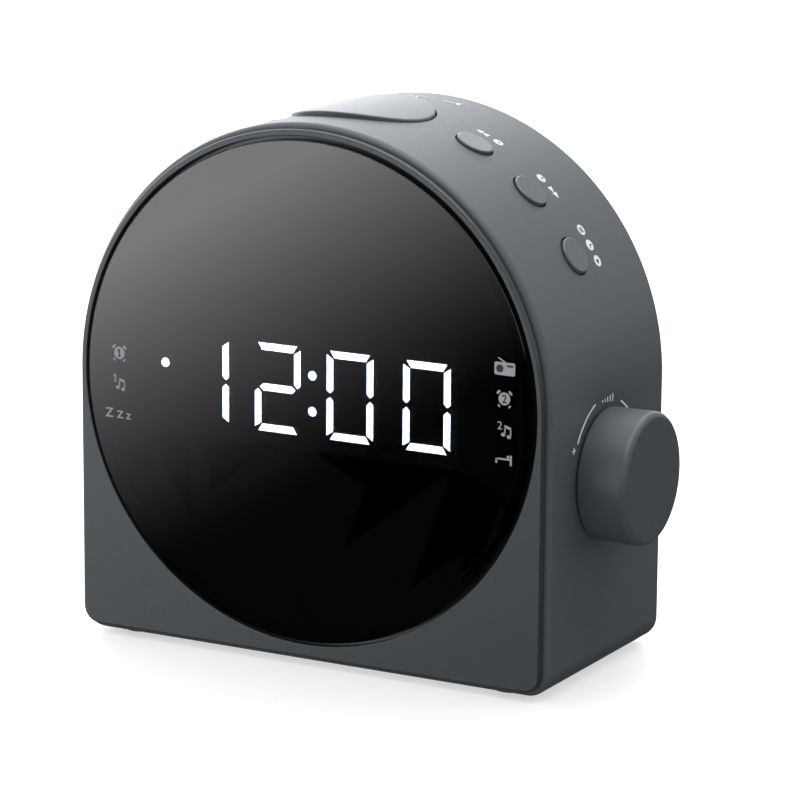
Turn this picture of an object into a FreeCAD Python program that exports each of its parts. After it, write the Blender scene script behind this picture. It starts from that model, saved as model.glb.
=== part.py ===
"""Clock radio with an arched housing: one STEP file for each separate piece.

Millimetres, +Z up. The front faces -Y and the volume knob stands out of the +X wall.
Everything is laid out about the housing's own middle plane (x = 0) and then moved
sideways by ORIGIN_SHIFT, so that the origin is under the middle of the whole object,
knob included, in the plane that the feet rest on.
"""

import math
import os

import FreeCAD
import Part

# ---- driving dimensions -------------------------------------------------------------
BODY_WIDTH = 130.0
BODY_DEPTH = 63.7
FOOT_STAND = 0.8  # how far the foot pads hold the underside off the table
ARCH_HEIGHT = 66.65  # from the underside up to the middle of the arch
WALL = 2.2
CORNER = 5.75  # rounding of the two bottom corners, seen from the front
EDGE_ROUND = 1.4  # rounding of the housing's front and back outer edges
RUNNING_GAP = 0.05  # radial clearance of a shaft, or of a screw in its hole

HALF_WIDTH = BODY_WIDTH / 2
FRONT = -BODY_DEPTH / 2
BACK = BODY_DEPTH / 2
ARCH_Z = FOOT_STAND + ARCH_HEIGHT
INNER_R = HALF_WIDTH - WALL

LENS_R = 61.17
LENS_THICK = 2.0
LENS_CHAMFER = 0.3
LENS_GAP = 0.9
TAPE_THICK = 0.3
TAPE_INNER_R = 58.0
FILM_THICK = 0.2
BEZEL_SET_BACK = 0.4  # the bezel's face stands this far behind the lens
BEZEL_FACE = FRONT + BEZEL_SET_BACK
BEZEL_ROUND = 0.9
BEZEL_PLATE = 1.5
LENS_SEAT = FRONT + LENS_THICK + TAPE_THICK
BEZEL_BACK = LENS_SEAT + BEZEL_PLATE
PARTING = FRONT + LENS_THICK
PARTING_GAP = 0.25
LIP_INSET = WALL + 0.2
LIP_THICK = 1.4
LIP_DEPTH = 3.8

COVER_THICK = 2.5
COVER_RECESS = 0.5
COVER_OUT = BACK - COVER_RECESS
COVER_IN = COVER_OUT - COVER_THICK
LEDGE = 1.2

DIGIT_W = 12.6
DIGIT_H = 21.6
SEGMENT_W = 1.7
SEGMENT_GAP = 0.35
DIGIT_LEFTS = (-34.5, -14.5, 5.4, 26.1)
DIGIT_Z = 56.1 + FOOT_STAND
LIT_BY_DIGIT = ("bc", "abged", "abcdef", "abcdef")  # shows 12:00
COLON_X = 1.4
COLON_ZS = (62.3 + FOOT_STAND, 71.1 + FOOT_STAND)
ALARM_DOT = (-39.9, 69.9 + FOOT_STAND)
DOT_R = 1.1
SEGMENT_FRONT = FRONT + 2.35
SEGMENT_THICK = 1.2
CELL_GAP = 0.05
LIGHT_BOX = (-43.0, 41.5, 53.5, 82.0)  # x from, x to, z from, z to
LIGHT_BOX_FRONT = SEGMENT_FRONT
WINDOW_GAP = 0.4
DISPLAY_BOARD_Y = -19.5
BOARD_THICK = 1.6
DISPLAY_BOARD = (-50.0, 50.0, 46.0, 90.0)
DISPLAY_POSTS = ((-46.0, 49.5), (46.0, 49.5), (-46.0, 86.5), (46.0, 86.5))

SCREW_R = 1.3  # small self-tapping screws, all alike
SCREW_LENGTH = 6.0
SCREW_HEAD_R = 2.4
SCREW_HEAD = 1.7
POST_R = 3.0
CASE_SCREW_R = 1.5
CASE_SCREW_LENGTH = 15.0
CASE_HEAD_R = 2.8
CASE_HEAD = 2.0
CASE_BOSSES = ((-54.5, 11.5), (54.5, 11.5), (-54.3, 81.0), (54.3, 81.0))
CASE_BOSS_R = 4.0
COVER_BOSS_R = 4.8
BOSS_MEET = 22.0  # y at which the bezel's bosses meet those of the rear cover
CASE_HEAD_SEAT = 27.0

SPEAKER_Z = 72.0
SPEAKER_FLANGE_R = 25.5
SPEAKER_FRONT = 24.0
SPEAKER_EAR_R = 29.5
COIL_R = 4.7
COIL_GLUE = 0.05

KEY_R = 4.65
KEY_HOLE_R = 5.0
KEY_RAISE = 0.75
KEY_ROUND = 0.45
KEY_FLANGE_R = 6.3
KEY_ANGLES = {
    "hour_key": 64.0,
    "minute_key": 48.0,
    "preset_key": 31.4,
    "alarm_one_key": 118.0,
    "alarm_two_key": 134.0,
    "power_key": 150.6,
}
SNOOZE_ANGLE = 91.8
SNOOZE_R = 17.5
SNOOZE_HOLE_R = 17.9
SNOOZE_TOP = 1.3
SNOOZE_CROWN_R = 50.5
SNOOZE_FLANGE_R = 19.2
SWITCH_TOP = 56.2  # distances from the arch's middle outwards
SWITCH_SIDE = 6.0
STRIP_OUT = 52.3
STRIP_IN = 52.0
BRACKET_IN = 49.8
PLUNGER_TOP = 57.6
PLUNGER_R = 1.6
PLUNGER_LENGTH = 1.9
PLUNGER_WELL = 1.6
BRACKET_SPAN = (22.0, 158.0)
BRACKET_HALF = 14.0
STRIP_HALF = 5.0
BRACKET_POSTS = ((40.0, -11.0), (40.0, 11.0), (140.0, -11.0), (140.0, 11.0))

KNOB_R = 16.1
KNOB_REACH = 12.8
KNOB_GAP = 0.5
KNOB_ROUND = 1.5
KNOB_WALL = 1.6
KNOB_FACE = 2.5
KNOB_HUB_R = 5.0
VOLUME_Y = -0.8
VOLUME_Z = 49.0 + FOOT_STAND
SHAFT_R = 3.0
SHAFT_FLAT = 0.8
BUSHING_R = 3.5
POT_R = 8.5
POT_DEPTH = 8.5

MAIN_BOARD = (-47.0, 47.0, -12.0, 26.5)
MAIN_BOARD_Z = 13.0
MAIN_POSTS = ((-43.0, -8.0), (43.0, -8.0), (-43.0, 22.0), (43.0, 22.0))
HEADER_TOP = 20.6
HEADER_SEAT_GAP = 0.05  # solder between a header and the curved rail
KEY_HEADER_LOW = 83.0
JACK_X = 32.0
JACK_Z = 21.1
JACK_HOLE_R = 2.8
AERIAL = (-38.0, 24.0)

CELL = (-22.0, 2.0)
CELL_R = 10.0
CELL_THICK = 3.2
CELL_Z = 4.9
DOOR_R = 11.6
DOOR_HOLE_R = 11.9
DOOR_LUG_R = 13.1
CUP_R = 13.5
CUP_TOP = 8.4
FEET = ((-52.0, -22.0), (52.0, -22.0), (-52.0, 22.0), (52.0, 22.0))
FOOT_R = 5.0
FOOT_RECESS = 1.2

ORIGIN_SHIFT = FreeCAD.Vector(-KNOB_REACH / 2, 0, 0)
FLOOR_BOTTOM = FOOT_STAND
FLOOR_TOP = FOOT_STAND + WALL
X_AXIS = FreeCAD.Vector(1, 0, 0)
Y_AXIS = FreeCAD.Vector(0, 1, 0)
Z_AXIS = FreeCAD.Vector(0, 0, 1)


# ---- basic shapes -------------------------------------------------------------------
def point(x, y, z):
    return FreeCAD.Vector(x, y, z)


def box(x, y, z):
    """A block from three (low, high) pairs."""
    size = [high - low for low, high in (x, y, z)]
    return Part.makeBox(*size, point(x[0], y[0], z[0]))


def rod(radius, start, end):
    """A cylinder from one point to another."""
    along = end - start
    return Part.makeCylinder(radius, along.Length, start, along)


def ring(outer, inner, start, end):
    return rod(outer, start, end).cut(rod(inner, start, end))


def y_rod(radius, x, z, y0, y1):
    return rod(radius, point(x, y0, z), point(x, y1, z))


def z_rod(radius, x, y, z0, z1):
    return rod(radius, point(x, y, z0), point(x, y, z1))


def x_rod(radius, y, z, x0, x1):
    return rod(radius, point(x0, y, z), point(x1, y, z))


def slab(outline, y0, y1):
    """A flat outline of (x, z) points, as thick as y0 to y1."""
    corners = [point(x, y0, z) for x, z in outline]
    face = Part.Face(Part.makePolygon(corners + corners[:1]))
    return face.extrude(point(0, y1 - y0, 0))


def turned(profile, origin, axis):
    """A profile of (radius, distance along the axis) points, turned about +Y or +Z."""
    if axis == Y_AXIS:
        corners = [origin + point(r, h, 0) for r, h in profile]
    else:
        corners = [origin + point(r, 0, h) for r, h in profile]
    face = Part.Face(Part.makePolygon(corners + corners[:1]))
    return face.revolve(origin, axis, 360)


def joined(shapes):
    """One solid out of shapes that overlap or touch."""
    first, rest = shapes[0], shapes[1:]
    return first.fuse(rest).removeSplitter() if rest else first


def without(shape, tools):
    return shape.cut(Part.makeCompound(tools))


def arch_outline(inset, y):
    """The housing's front outline, drawn in by inset, as a closed wire."""
    half = HALF_WIDTH - inset
    low = FLOOR_BOTTOM + inset
    corner = max(CORNER - inset, 0.8)
    bend = corner * (1 - math.sqrt(0.5))
    left, right = -half, half
    a = point(left + corner, y, low)
    b = point(right - corner, y, low)
    c = point(right, y, low + corner)
    d = point(right, y, ARCH_Z)
    e = point(left, y, ARCH_Z)
    f = point(left, y, low + corner)
    return Part.Wire([
        Part.LineSegment(a, b).toShape(),
        Part.Arc(b, point(right - bend, y, low + bend), c).toShape(),
        Part.LineSegment(c, d).toShape(),
        Part.Arc(d, point(0, y, ARCH_Z + half), e).toShape(),
        Part.LineSegment(e, f).toShape(),
        Part.Arc(f, point(left + bend, y, low + bend), a).toShape(),
    ])


def arch(inset, y0, y1):
    return Part.Face(arch_outline(inset, y0)).extrude(point(0, y1 - y0, 0))


def rim_edges(solid, y):
    """The edges of a solid that lie wholly in the plane at y."""
    return [
        edge
        for edge in solid.Edges
        if abs(edge.BoundBox.YMin - y) < 1e-6 and abs(edge.BoundBox.YMax - y) < 1e-6
    ]


def is_cylinder(face, radius):
    surface = face.Surface
    return isinstance(surface, Part.Cylinder) and abs(surface.Radius - radius) < 1e-6


def at_angle(shape, degrees):
    """Swing a shape that was made at the top of the arch round to an angle on it."""
    moved = shape.copy()
    moved.rotate(point(0, 0, ARCH_Z), Y_AXIS, 90 - degrees)
    return moved


def outward(radius, r0, r1, y=0.0):
    """A rod at the top of the arch, between two distances from the arch's middle."""
    return z_rod(radius, 0, y, ARCH_Z + r0, ARCH_Z + r1)


def arch_band(outer, inner, y0, y1, span):
    """A strip of the arch between two radii, from one angle to another."""
    start, end = span
    middle = (start + end) / 2

    def on(radius, degrees):
        turn = math.radians(degrees)
        return point(radius * math.cos(turn), y0, ARCH_Z + radius * math.sin(turn))

    edges = [
        Part.Arc(on(outer, start), on(outer, middle), on(outer, end)).toShape(),
        Part.LineSegment(on(outer, end), on(inner, end)).toShape(),
        Part.Arc(on(inner, end), on(inner, middle), on(inner, start)).toShape(),
        Part.LineSegment(on(inner, start), on(outer, start)).toShape(),
    ]
    return Part.Face(Part.Wire(edges)).extrude(point(0, y1 - y0, 0))


def route(points, bend):
    """Straight runs joined by tangent arcs of one radius."""
    edges = []
    last = points[0]
    for before, corner, after in zip(points, points[1:], points[2:]):
        back = (before - corner).normalize()
        ahead = (after - corner).normalize()
        turn = math.pi - back.getAngle(ahead)
        setback = bend * math.tan(turn / 2)
        start = corner + back * setback
        end = corner + ahead * setback
        inward = (back + ahead).normalize()
        depth = bend / math.cos(turn / 2) - bend
        edges.append(Part.LineSegment(last, start).toShape())
        edges.append(Part.Arc(start, corner + inward * depth, end).toShape())
        last = end
    edges.append(Part.LineSegment(last, points[-1]).toShape())
    return Part.Wire(edges)


def wire_along(points, radius, bend):
    """A round wire that follows a route."""
    path = route(points, bend)
    section = Part.Wire(Part.makeCircle(radius, points[0], points[1] - points[0]))
    return path.makePipeShell([section], True, False)


def flat_cable(points, width, thick, bend):
    """A ribbon whose route lies in a plane x = constant."""
    path = route(points, bend)
    p = points[0]
    half = point(width / 2, 0, 0)
    side = (points[1] - p).normalize().cross(X_AXIS) * (thick / 2)
    corners = [p - half - side, p + half - side, p + half + side, p - half + side]
    section = Part.makePolygon(corners + corners[:1])
    return path.makePipeShell([section], True, False)


def screw(radius, length, head_r, head, seat, into):
    """A pan-head screw with a cross recess: seat is under the head, into points along the shank."""
    shank = rod(radius, seat, seat + into * length)
    top = rod(head_r, seat - into * head, seat)
    across = Z_AXIS if abs(into.z) < 0.5 else X_AXIS
    other = into.cross(across)
    cuts = []
    for along, aside in ((across, other), (other, across)):
        arm = Part.makeBox(2.6, 0.6, 1.6, point(-1.3, -0.3, -0.6))
        frame = FreeCAD.Matrix()
        columns = (along, aside, along.cross(aside))
        for column, axis in enumerate(columns):
            for row, value in enumerate(axis):
                setattr(frame, f"A{row + 1}{column + 1}", value)
        arm = arm.transformGeometry(frame)
        arm.translate(seat - into * head)
        cuts.append(arm)
    return without(joined([top, shank]), cuts)


def tapping_screw(seat, into):
    return screw(SCREW_R, SCREW_LENGTH, SCREW_HEAD_R, SCREW_HEAD, seat, into)


def save(name, shapes):
    """Write one node: a solid, or several alike that share it."""
    solids = [solid for shape in shapes for solid in shape.Solids]
    if not all(solid.isValid() for solid in solids):
        raise ValueError(name + " is not a valid solid")
    shape = solids[0] if len(solids) == 1 else Part.makeCompound(solids)
    moved = shape.copy()
    moved.translate(ORIGIN_SHIFT)
    moved.exportStep("parts/" + name + ".step")


# ---- housing ------------------------------------------------------------------------
def key_holes():
    holes = [at_angle(outward(SNOOZE_HOLE_R, 40, HALF_WIDTH + 5), SNOOZE_ANGLE)]
    for degrees in KEY_ANGLES.values():
        holes.append(at_angle(outward(KEY_HOLE_R, 50, HALF_WIDTH + 5), degrees))
    return holes


def door_notches(low, high):
    """The three gaps in the floor that the battery door's lugs drop out of."""
    notches = []
    for start in (60, 180, 300):
        lug = Part.makeCylinder(
            DOOR_LUG_R + 0.3, high - low, point(*CELL, low), Z_AXIS, 34
        )
        lug.rotate(point(*CELL, 0), Z_AXIS, start - 17)
        notches.append(lug)
    return notches


def body_shell():
    """The arched sleeve, open at the front and the back, with its floor."""
    shell_front = PARTING + PARTING_GAP
    outer = arch(0, shell_front, BACK)
    edges = rim_edges(outer, shell_front) + rim_edges(outer, BACK)
    outer = outer.makeFillet(EDGE_ROUND, edges)
    shell = outer.cut(arch(WALL, shell_front - 1, BACK + 1))
    ledge = arch(WALL - 0.5, COVER_IN - 1.5, COVER_IN).cut(
        arch(WALL + LEDGE, COVER_IN - 2.5, COVER_IN + 1)
    )
    cup = z_rod(CUP_R + WALL - 0.6, *CELL, FLOOR_TOP - 0.5, CUP_TOP + 1.2)
    posts = [
        z_rod(POST_R, x, y, FLOOR_TOP - 0.5, MAIN_BOARD_Z) for x, y in MAIN_POSTS
    ]
    posts += [
        at_angle(outward(POST_R, STRIP_IN, INNER_R + 0.5, y), degrees)
        for degrees, y in BRACKET_POSTS
    ]
    shell = joined([shell, ledge, cup] + posts)
    cuts = key_holes()
    cuts.append(z_rod(CUP_R, *CELL, FLOOR_TOP, CUP_TOP))
    cuts.append(z_rod(DOOR_HOLE_R, *CELL, 0, FLOOR_TOP + 1))
    cuts += door_notches(0, FLOOR_TOP + 1)
    cuts += [z_rod(FOOT_R, x, y, 0, FLOOR_BOTTOM + FOOT_RECESS) for x, y in FEET]
    cuts.append(x_rod(BUSHING_R + 0.1, VOLUME_Y, VOLUME_Z, INNER_R - 1, HALF_WIDTH + 1))
    cuts += [
        z_rod(SCREW_R + RUNNING_GAP, x, y, MAIN_BOARD_Z - 6, MAIN_BOARD_Z)
        for x, y in MAIN_POSTS
    ]
    cuts += [
        at_angle(outward(SCREW_R + RUNNING_GAP, STRIP_IN, STRIP_IN + 6, y), degrees)
        for degrees, y in BRACKET_POSTS
    ]
    return without(shell, cuts)


def front_bezel():
    """The front plate that holds the lens, with its lip, posts and long screw bosses."""
    face = arch(EDGE_ROUND, BEZEL_FACE, PARTING)
    face = face.makeFillet(BEZEL_ROUND, rim_edges(face, BEZEL_FACE))
    plate = arch(LIP_INSET, PARTING - 0.5, BEZEL_BACK)
    lip = arch(LIP_INSET, PARTING - 0.5, PARTING + LIP_DEPTH).cut(
        arch(LIP_INSET + LIP_THICK, BEZEL_BACK - 1, PARTING + LIP_DEPTH + 1)
    )
    bosses = [
        y_rod(CASE_BOSS_R, x, z, BEZEL_BACK - 0.5, BOSS_MEET) for x, z in CASE_BOSSES
    ]
    bosses += [
        y_rod(POST_R, x, z, BEZEL_BACK - 0.5, DISPLAY_BOARD_Y)
        for x, z in DISPLAY_POSTS
    ]
    bezel = joined([face, plate, lip] + bosses)
    x0, x1, z0, z1 = LIGHT_BOX
    cuts = [
        y_rod(LENS_R + LENS_GAP, 0, ARCH_Z, FRONT - 1, LENS_SEAT),
        box(
            (x0 - WINDOW_GAP, x1 + WINDOW_GAP),
            (LENS_SEAT - 1, BEZEL_BACK + 1),
            (z0 - WINDOW_GAP, z1 + WINDOW_GAP),
        ),
    ]
    cuts += [
        y_rod(CASE_SCREW_R + RUNNING_GAP, x, z, BOSS_MEET - 11, BOSS_MEET)
        for x, z in CASE_BOSSES
    ]
    cuts += [
        y_rod(SCREW_R + RUNNING_GAP, x, z, DISPLAY_BOARD_Y - 6, DISPLAY_BOARD_Y)
        for x, z in DISPLAY_POSTS
    ]
    return without(bezel, cuts)


def display_lens():
    lens = y_rod(LENS_R, 0, ARCH_Z, FRONT, FRONT + LENS_THICK)
    return lens.makeChamfer(LENS_CHAMFER, rim_edges(lens, FRONT))


def lens_tape_ring():
    middle = point(0, PARTING, ARCH_Z)
    return ring(LENS_R - 0.2, TAPE_INNER_R, middle, middle + Y_AXIS * TAPE_THICK)


def icon_film():
    """The dark printed sheet behind the lens, open where the digits stand."""
    x0, x1, z0, z1 = LIGHT_BOX
    film = y_rod(TAPE_INNER_R - 0.5, 0, ARCH_Z, PARTING, PARTING + FILM_THICK)
    return film.cut(box((x0, x1), (FRONT, 0), (z0, z1)))


def slot_row(x, z, half, width):
    """One sound slot with round ends, through the rear cover."""
    ends = [y_rod(width / 2, x + side * half, z, COVER_IN - 1, COVER_OUT + 1) for side in (-1, 1)]
    middle = box(
        (x - half, x + half), (COVER_IN - 1, COVER_OUT + 1), (z - width / 2, z + width / 2)
    )
    return joined([middle] + ends)


def rear_cover():
    """The flat back, with the sound slots, the screw wells, the jack and the aerial holes."""
    cover = arch(LIP_INSET, COVER_IN, COVER_OUT)
    cover = cover.makeFillet(0.4, rim_edges(cover, COVER_OUT))
    bosses = [
        y_rod(COVER_BOSS_R, x, z, BOSS_MEET, COVER_IN + 0.5) for x, z in CASE_BOSSES
    ]
    bosses += [
        y_rod(POST_R, x, z, SPEAKER_FRONT, COVER_IN + 0.5) for x, z in speaker_ears()
    ]
    cover = joined([cover] + bosses)
    cuts = [
        y_rod(JACK_HOLE_R + 0.8, JACK_X, JACK_Z, COVER_IN - 1, COVER_OUT + 1),
        y_rod(3.0, *AERIAL, COVER_IN - 1, COVER_OUT + 1),
    ]
    for x, z in CASE_BOSSES:
        cuts.append(y_rod(CASE_HEAD_R + 0.4, x, z, CASE_HEAD_SEAT, COVER_OUT + 1))
        cuts.append(y_rod(CASE_SCREW_R + 0.2, x, z, BOSS_MEET - 1, CASE_HEAD_SEAT + 1))
    cuts += [
        y_rod(SCREW_R + RUNNING_GAP, x, z, SPEAKER_FRONT - 1, SPEAKER_FRONT + 6)
        for x, z in speaker_ears()
    ]
    pitch = 4.0
    reach = 20.0
    for row in range(-5, 6):
        height = row * pitch
        half = math.sqrt(reach**2 - height**2) if abs(height) < reach else 0.0
        half = max(half - 1.0, 3.0)
        cuts.append(slot_row(0, SPEAKER_Z + height, half, 2.0))
    return without(cover, cuts)


def foot_pads():
    return [z_rod(FOOT_R - 0.1, x, y, 0, FLOOR_BOTTOM + FOOT_RECESS) for x, y in FEET]


def case_screws():
    return [
        screw(
            CASE_SCREW_R, CASE_SCREW_LENGTH, CASE_HEAD_R, CASE_HEAD,
            point(x, CASE_HEAD_SEAT, z), -Y_AXIS,
        )
        for x, z in CASE_BOSSES
    ]


# ---- display ------------------------------------------------------------------------
def segment_outlines(left, low):
    """The seven mitred bars of one digit, by letter, as (x, z) outlines."""
    w, g = SEGMENT_W, SEGMENT_GAP
    right, top = left + DIGIT_W, low + DIGIT_H
    middle = low + DIGIT_H / 2
    tip = w * 0.35
    outlines = {
        "a": [
            (left + g + tip, top), (right - g - tip, top),
            (right - g - w, top - w), (left + g + w, top - w),
        ],
        "d": [
            (left + g + tip, low), (left + g + w, low + w),
            (right - g - w, low + w), (right - g - tip, low),
        ],
        "g": [
            (left + g + w * 0.6, middle), (left + g + w * 1.2, middle + w / 2),
            (right - g - w * 1.2, middle + w / 2), (right - g - w * 0.6, middle),
            (right - g - w * 1.2, middle - w / 2), (left + g + w * 1.2, middle - w / 2),
        ],
    }
    upright = [
        (0, g + tip), (w, g + w), (w, DIGIT_H / 2 - g - w * 0.6),
        (w / 2, DIGIT_H / 2 - g - w * 0.1), (0, DIGIT_H / 2 - g - w * 0.5),
    ]
    outlines["f"] = [(left + x, top - z) for x, z in upright]
    outlines["e"] = [(left + x, low + z) for x, z in upright]
    outlines["b"] = [(right - x, top - z) for x, z in upright]
    outlines["c"] = [(right - x, low + z) for x, z in upright]
    return outlines


def bars(lit):
    """The bars of all four digits that are lit, or those that are dark."""
    found = []
    for left, letters in zip(DIGIT_LEFTS, LIT_BY_DIGIT):
        for letter, outline in segment_outlines(left, DIGIT_Z).items():
            if (letter in letters) == lit:
                found.append(outline)
    return found


def dots():
    return [(COLON_X, z) for z in COLON_ZS] + [ALARM_DOT]


def middle_of(outline):
    xs, zs = zip(*outline)
    return sum(xs) / len(xs), sum(zs) / len(zs)


def display_bars(lit):
    return [
        slab(outline, SEGMENT_FRONT, SEGMENT_FRONT + SEGMENT_THICK)
        for outline in bars(lit)
    ]


def display_dots():
    return [
        y_rod(DOT_R, x, z, SEGMENT_FRONT, SEGMENT_FRONT + SEGMENT_THICK)
        for x, z in dots()
    ]


def widened(outline, by):
    """An outline pushed out from its middle by about the same amount all round."""
    cx, cz = middle_of(outline)
    grown = []
    for x, z in outline:
        grown.append((x + math.copysign(by, x - cx), z + math.copysign(by, z - cz)))
    return grown


def digit_light_box():
    """The white block whose cells carry the light forward to each bar."""
    x0, x1, z0, z1 = LIGHT_BOX
    block = box((x0, x1), (LIGHT_BOX_FRONT, DISPLAY_BOARD_Y), (z0, z1))
    cells = [
        slab(widened(outline, CELL_GAP), LIGHT_BOX_FRONT - 1, DISPLAY_BOARD_Y + 1)
        for outline in bars(True) + bars(False)
    ]
    cells += [
        y_rod(DOT_R + CELL_GAP, x, z, LIGHT_BOX_FRONT - 1, DISPLAY_BOARD_Y + 1)
        for x, z in dots()
    ]
    return without(block, cells)


def segment_leds():
    """One small light-emitting chip on the board behind each bar and dot."""
    places = [middle_of(outline) for outline in bars(True) + bars(False)] + dots()
    return [
        box((x - 0.5, x + 0.5), (DISPLAY_BOARD_Y - 0.7, DISPLAY_BOARD_Y), (z - 0.5, z + 0.5))
        for x, z in places
    ]


def display_board():
    x0, x1, z0, z1 = DISPLAY_BOARD
    board = box((x0, x1), (DISPLAY_BOARD_Y, DISPLAY_BOARD_Y + BOARD_THICK), (z0, z1))
    return without(board, [
        y_rod(SCREW_R + 0.2, x, z, DISPLAY_BOARD_Y - 1, DISPLAY_BOARD_Y + 3)
        for x, z in DISPLAY_POSTS
    ])


# ---- main board, battery and sockets ------------------------------------------------
def main_board():
    x0, x1, y0, y1 = MAIN_BOARD
    board = box((x0, x1), (y0, y1), (MAIN_BOARD_Z, MAIN_BOARD_Z + BOARD_THICK))
    return without(board, [
        z_rod(SCREW_R + 0.2, x, y, MAIN_BOARD_Z - 1, MAIN_BOARD_Z + 3)
        for x, y in MAIN_POSTS
    ])


def on_board(x, y, wide, deep, tall):
    """A block standing on the main board, centred on (x, y)."""
    top = MAIN_BOARD_Z + BOARD_THICK
    return box(
        (x - wide / 2, x + wide / 2), (y - deep / 2, y + deep / 2), (top, top + tall)
    )


def board_chips():
    return [
        on_board(-6, 6, 10, 10, 1.6),
        on_board(-24, 12, 7, 7, 1.2),
        on_board(18, 8, 5, 6, 1.5),
        on_board(24, -4, 6.5, 6, 2.3),
    ]


def board_capacitors():
    top = MAIN_BOARD_Z + BOARD_THICK
    places = ((15, 21, 4.0, 11.5), (-12, 21, 3.2, 9.0), (33, -7, 3.2, 9.0))
    return [z_rod(r, x, y, top, top + tall) for x, y, r, tall in places]


def cable_headers():
    """The plug-in connectors of the display, keys, speaker and volume wires."""
    tall = HEADER_TOP - MAIN_BOARD_Z - BOARD_THICK
    display_back = DISPLAY_BOARD_Y + BOARD_THICK
    on_keys = box((-46, -40), (-6, 6), (KEY_HEADER_LOW, 89)).common(
        y_rod(BRACKET_IN - HEADER_SEAT_GAP, 0, ARCH_Z, -20, 20)
    )
    return [
        on_board(10, -8, 14, 4, tall),
        on_board(-43, 2, 3.5, 12, tall),
        on_board(0, 16, 9, 4, tall),
        on_board(42.5, 4, 4, 9, tall),
        box((3, 17), (display_back, display_back + 3.4), (48, 52)),
        on_keys,
    ]


def dc_jack_body():
    top = MAIN_BOARD_Z + BOARD_THICK
    block = box((JACK_X - 4.5, JACK_X + 4.5), (COVER_IN - 14, COVER_IN), (top, JACK_Z + 5))
    return block.cut(y_rod(JACK_HOLE_R, JACK_X, JACK_Z, COVER_IN - 10, COVER_IN + 1))


def dc_jack_pin():
    return y_rod(1.05, JACK_X, JACK_Z, COVER_IN - 10, COVER_IN - 1)


def aerial_grommet():
    x, z = AERIAL
    neck = y_rod(2.9, x, z, COVER_IN, COVER_OUT)
    outer = y_rod(4.2, x, z, COVER_OUT, COVER_OUT + 0.4)
    inner = y_rod(4.0, x, z, COVER_IN - 1.4, COVER_IN)
    bore = y_rod(1.0, x, z, COVER_IN - 2, COVER_OUT + 1)
    return joined([neck, outer, inner]).cut(bore)


def coin_cell():
    can = z_rod(CELL_R, *CELL, CELL_Z + 0.3, CELL_Z + CELL_THICK)
    lid = z_rod(CELL_R - 1.2, *CELL, CELL_Z, CELL_Z + 0.4)
    return joined([can, lid])


def cell_contacts():
    x, y = CELL
    top = box((x - 2, x + 8), (y - 2, y + 2), (CELL_Z + CELL_THICK, CUP_TOP))
    side = box((x - CELL_R - 0.9, x - CELL_R - 0.4), (y - 2, y + 2), (CELL_Z + 0.2, CUP_TOP))
    return [top, side]


def battery_door():
    """The round lid under the coin cell: three lugs hold it above the floor's rim."""
    x, y = CELL
    lid = z_rod(DOOR_R, x, y, FLOOR_BOTTOM + 0.2, CELL_Z - 0.5)
    lugs = []
    for start in (0, 120, 240):
        lug = Part.makeCylinder(DOOR_LUG_R, 1.0, point(x, y, FLOOR_TOP + 0.3), Z_AXIS, 26)
        lug.rotate(point(x, y, 0), Z_AXIS, start - 13)
        lugs.append(lug)
    coin_slot = box((x - 7, x + 7), (y - 0.9, y + 0.9), (0, FLOOR_BOTTOM + 1.3))
    return joined([lid] + lugs).cut(coin_slot)


# ---- speaker ------------------------------------------------------------------------
def speaker_ears():
    reach = SPEAKER_EAR_R * math.sqrt(0.5)
    return [(sx * reach, SPEAKER_Z + sz * reach) for sx in (-1, 1) for sz in (-1, 1)]


def speaker_part(profile):
    return turned(profile, point(0, 0, SPEAKER_Z), Y_AXIS)


def speaker_basket():
    flange_in = SPEAKER_FRONT - 1.2
    shell = speaker_part([
        (20.5, SPEAKER_FRONT), (SPEAKER_FLANGE_R, SPEAKER_FRONT), (SPEAKER_FLANGE_R, flange_in),
        (21.7, flange_in), (13.2, 11.0), (7.0, 11.0), (7.0, 12.0), (12.4, 12.0), (20.5, flange_in),
    ])
    ears = []
    for x, z in speaker_ears():
        ears.append(y_rod(POST_R, x, z, flange_in, SPEAKER_FRONT))
        arm = box((22, SPEAKER_EAR_R), (flange_in, SPEAKER_FRONT), (-POST_R, POST_R))
        arm.rotate(point(0, 0, 0), Y_AXIS, -math.degrees(math.atan2(z - SPEAKER_Z, x)))
        arm.translate(point(0, 0, SPEAKER_Z))
        ears.append(arm)
    tab = box((-6, 6), (flange_in - 1.2, flange_in), (SPEAKER_Z - 25.0, SPEAKER_Z - 22.0))
    basket = joined([shell, tab] + ears)
    vents = []
    for turn in range(4):
        vent = box((8, 20), (14, 19.5), (-5, 5))
        vent.rotate(point(0, 0, 0), Y_AXIS, 90 * turn)
        vent.translate(point(0, 0, SPEAKER_Z))
        vents.append(vent)
    holes = [y_rod(SCREW_R + 0.2, x, z, 20, 26) for x, z in speaker_ears()]
    return without(basket, vents + holes)


def speaker_top_plate():
    return speaker_part([(5.0, 9.0), (13.5, 9.0), (13.5, 11.0), (5.0, 11.0)])


def speaker_magnet():
    return speaker_part([(7.0, 4.5), (14.5, 4.5), (14.5, 9.0), (7.0, 9.0)])


def speaker_yoke():
    plate = y_rod(13.5, 0, SPEAKER_Z, 2.5, 4.5)
    return joined([plate, y_rod(3.9, 0, SPEAKER_Z, 4.0, 11.0)])


def voice_coil():
    return speaker_part([(4.2, 6.6), (COIL_R, 6.6), (COIL_R, 14.6), (4.2, 14.6)])


def speaker_cone():
    neck = COIL_R + COIL_GLUE
    return speaker_part([
        (neck, 14.0), (5.3, 14.0), (18.9, 23.6), (18.9, 24.1), (18.4, 24.1), (neck, 14.5),
    ])


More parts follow.
